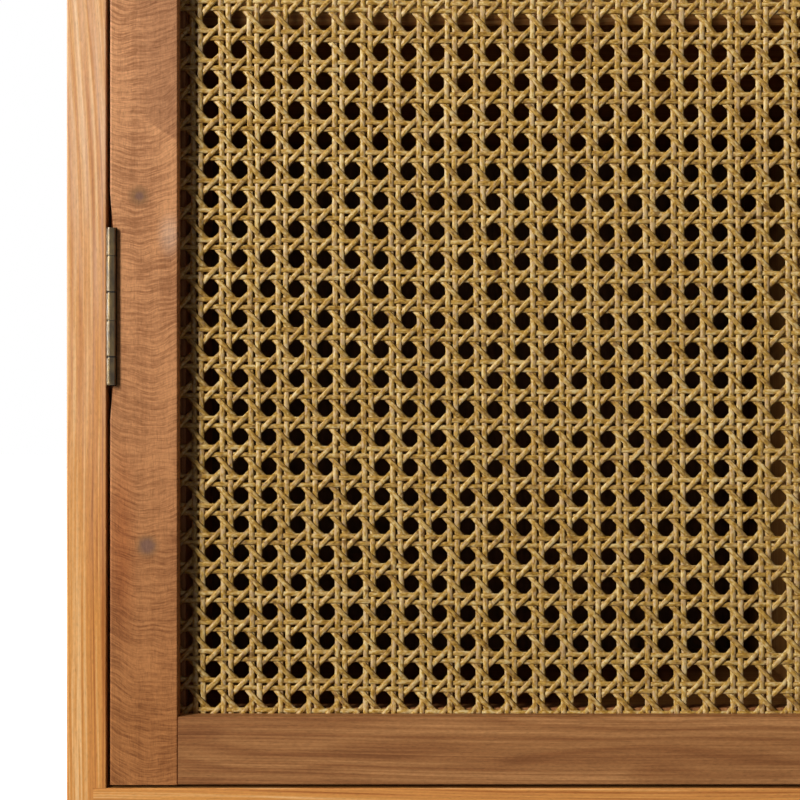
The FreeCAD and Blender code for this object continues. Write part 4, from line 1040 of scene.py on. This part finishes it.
stageLook = {
    "floorSeen": "#C6C4C0",
    "floorBounce": "#42403E",  # what the floor throws back on the object
    "floorGlow": 0.66,  # for the camera and in metal alone
    "floorSize": 8.0,  # metres
    "surround": 0.02,
    # degrees from the front to the right, degrees up, and strength
    "key": (-49.0, 21.0, 4.7),
    "back": (132.0, 45.0, 2.9),
    "edge": (-92.0, 3.0, 0.6),  # from the side, along rounded metal
    "spread": {"back": 30.0, "edge": 4.0},  # degrees that the lamp looks wide
    "keySize": (0.8, 3.0),  # metres wide and tall
    "away": 4.0,  # metres from what the camera looks at
}
cameraLook = {
    "across": -250.26,  # mm: where the view's middle meets the doors' front
    "up": 312.33,
    "distance": 700.0,
    "spanMm": 359.2,  # width of the view at the doors' front
    "sensor": 36.0,
}
aim = Vector((cameraLook["across"] * mm, stileLow.y, cameraLook["up"] * mm))


def placeLamp(name, lamp, azimuth, height):
    made = bpy.data.objects.new(name, lamp)
    a, h = math.radians(azimuth), math.radians(height)
    towards = Vector((math.sin(a) * math.cos(h), -math.cos(a) * math.cos(h), math.sin(h)))
    made.rotation_euler = towards.to_track_quat("Z", "Y").to_euler()
    made.location = aim + towards * stageLook["away"]
    bpy.context.scene.collection.objects.link(made)


azimuth, height, strength = stageLook["key"]
key = bpy.data.lights.new("keyLight", "AREA")
key.shape = "ELLIPSE"
key.size, key.size_y = stageLook["keySize"]
key.energy = strength * math.pi * stageLook["away"] ** 2
placeLamp("keyLight", key, azimuth, height)
for part, degrees in stageLook["spread"].items():
    azimuth, height, strength = stageLook[part]
    lamp = bpy.data.lights.new(f"{part}Light", "SUN")
    lamp.energy = strength
    lamp.angle = math.radians(degrees)
    placeLamp(f"{part}Light", lamp, azimuth, height)


def seenRays(make):
    # 1 for what the camera sees, also in metal and glass
    rays = make("LightPath").outputs
    either = {0: rays["Is Camera Ray"], 1: rays["Is Glossy Ray"]}
    seen = make("Math", {"operation": "MAXIMUM"}, either)
    either = {0: seen, 1: rays["Is Transmission Ray"]}
    return make("Math", {"operation": "MAXIMUM"}, either)


def paper():
    # matt paper roll: pale to the camera, and dark to the object, so that it hardly lights it
    material, make = newMaterial("paperMatt")
    colours = {6: hexColour(stageLook["floorBounce"]), 7: hexColour(stageLook["floorSeen"])}
    colour = make("Mix", asColour, {0: seenRays(make), **colours}).outputs[2]
    glow = make("MapRange", None, {0: seenRays(make), 4: stageLook["floorGlow"]})
    matt = make("BsdfDiffuse", None, {"Color": colour})
    glowing = make("Emission", None, {"Color": grey(1.0), "Strength": glow})
    both = make("AddShader", None, {0: matt, 1: glowing})
    make("OutputMaterial", None, {0: both})
    return material


floorMesh = bmesh.new()
bmesh.ops.create_grid(floorMesh, x_segments=1, y_segments=1, size=stageLook["floorSize"])
floor = objectFrom("floor", floorMesh, smooth=False)
dress(floor, paper())

world = bpy.data.worlds.new("paleSurround")
bpy.context.scene.world = world
world.use_nodes = True
world.node_tree.nodes.clear()
worldMake = partial(addNode, world.node_tree)
level = worldMake("MapRange", None, {0: seenRays(worldMake), 3: stageLook["surround"]})
surround = worldMake("Background", None, {"Color": grey(1.0), "Strength": level})
worldMake("OutputWorld", None, {0: surround})

camera = bpy.data.objects.new("camera", bpy.data.cameras.new("camera"))
camera.location = aim - Vector((0, cameraLook["distance"] * mm, 0))
camera.rotation_euler = (math.radians(90), 0, 0)
camera.data.sensor_width = cameraLook["sensor"]
camera.data.lens = cameraLook["sensor"] * cameraLook["distance"] / cameraLook["spanMm"]
camera.data.clip_start = 0.01
bpy.context.scene.collection.objects.link(camera)
bpy.context.scene.camera = camera
bpy.context.scene.view_settings.view_transform = "Standard"
print("stage: light and camera set")
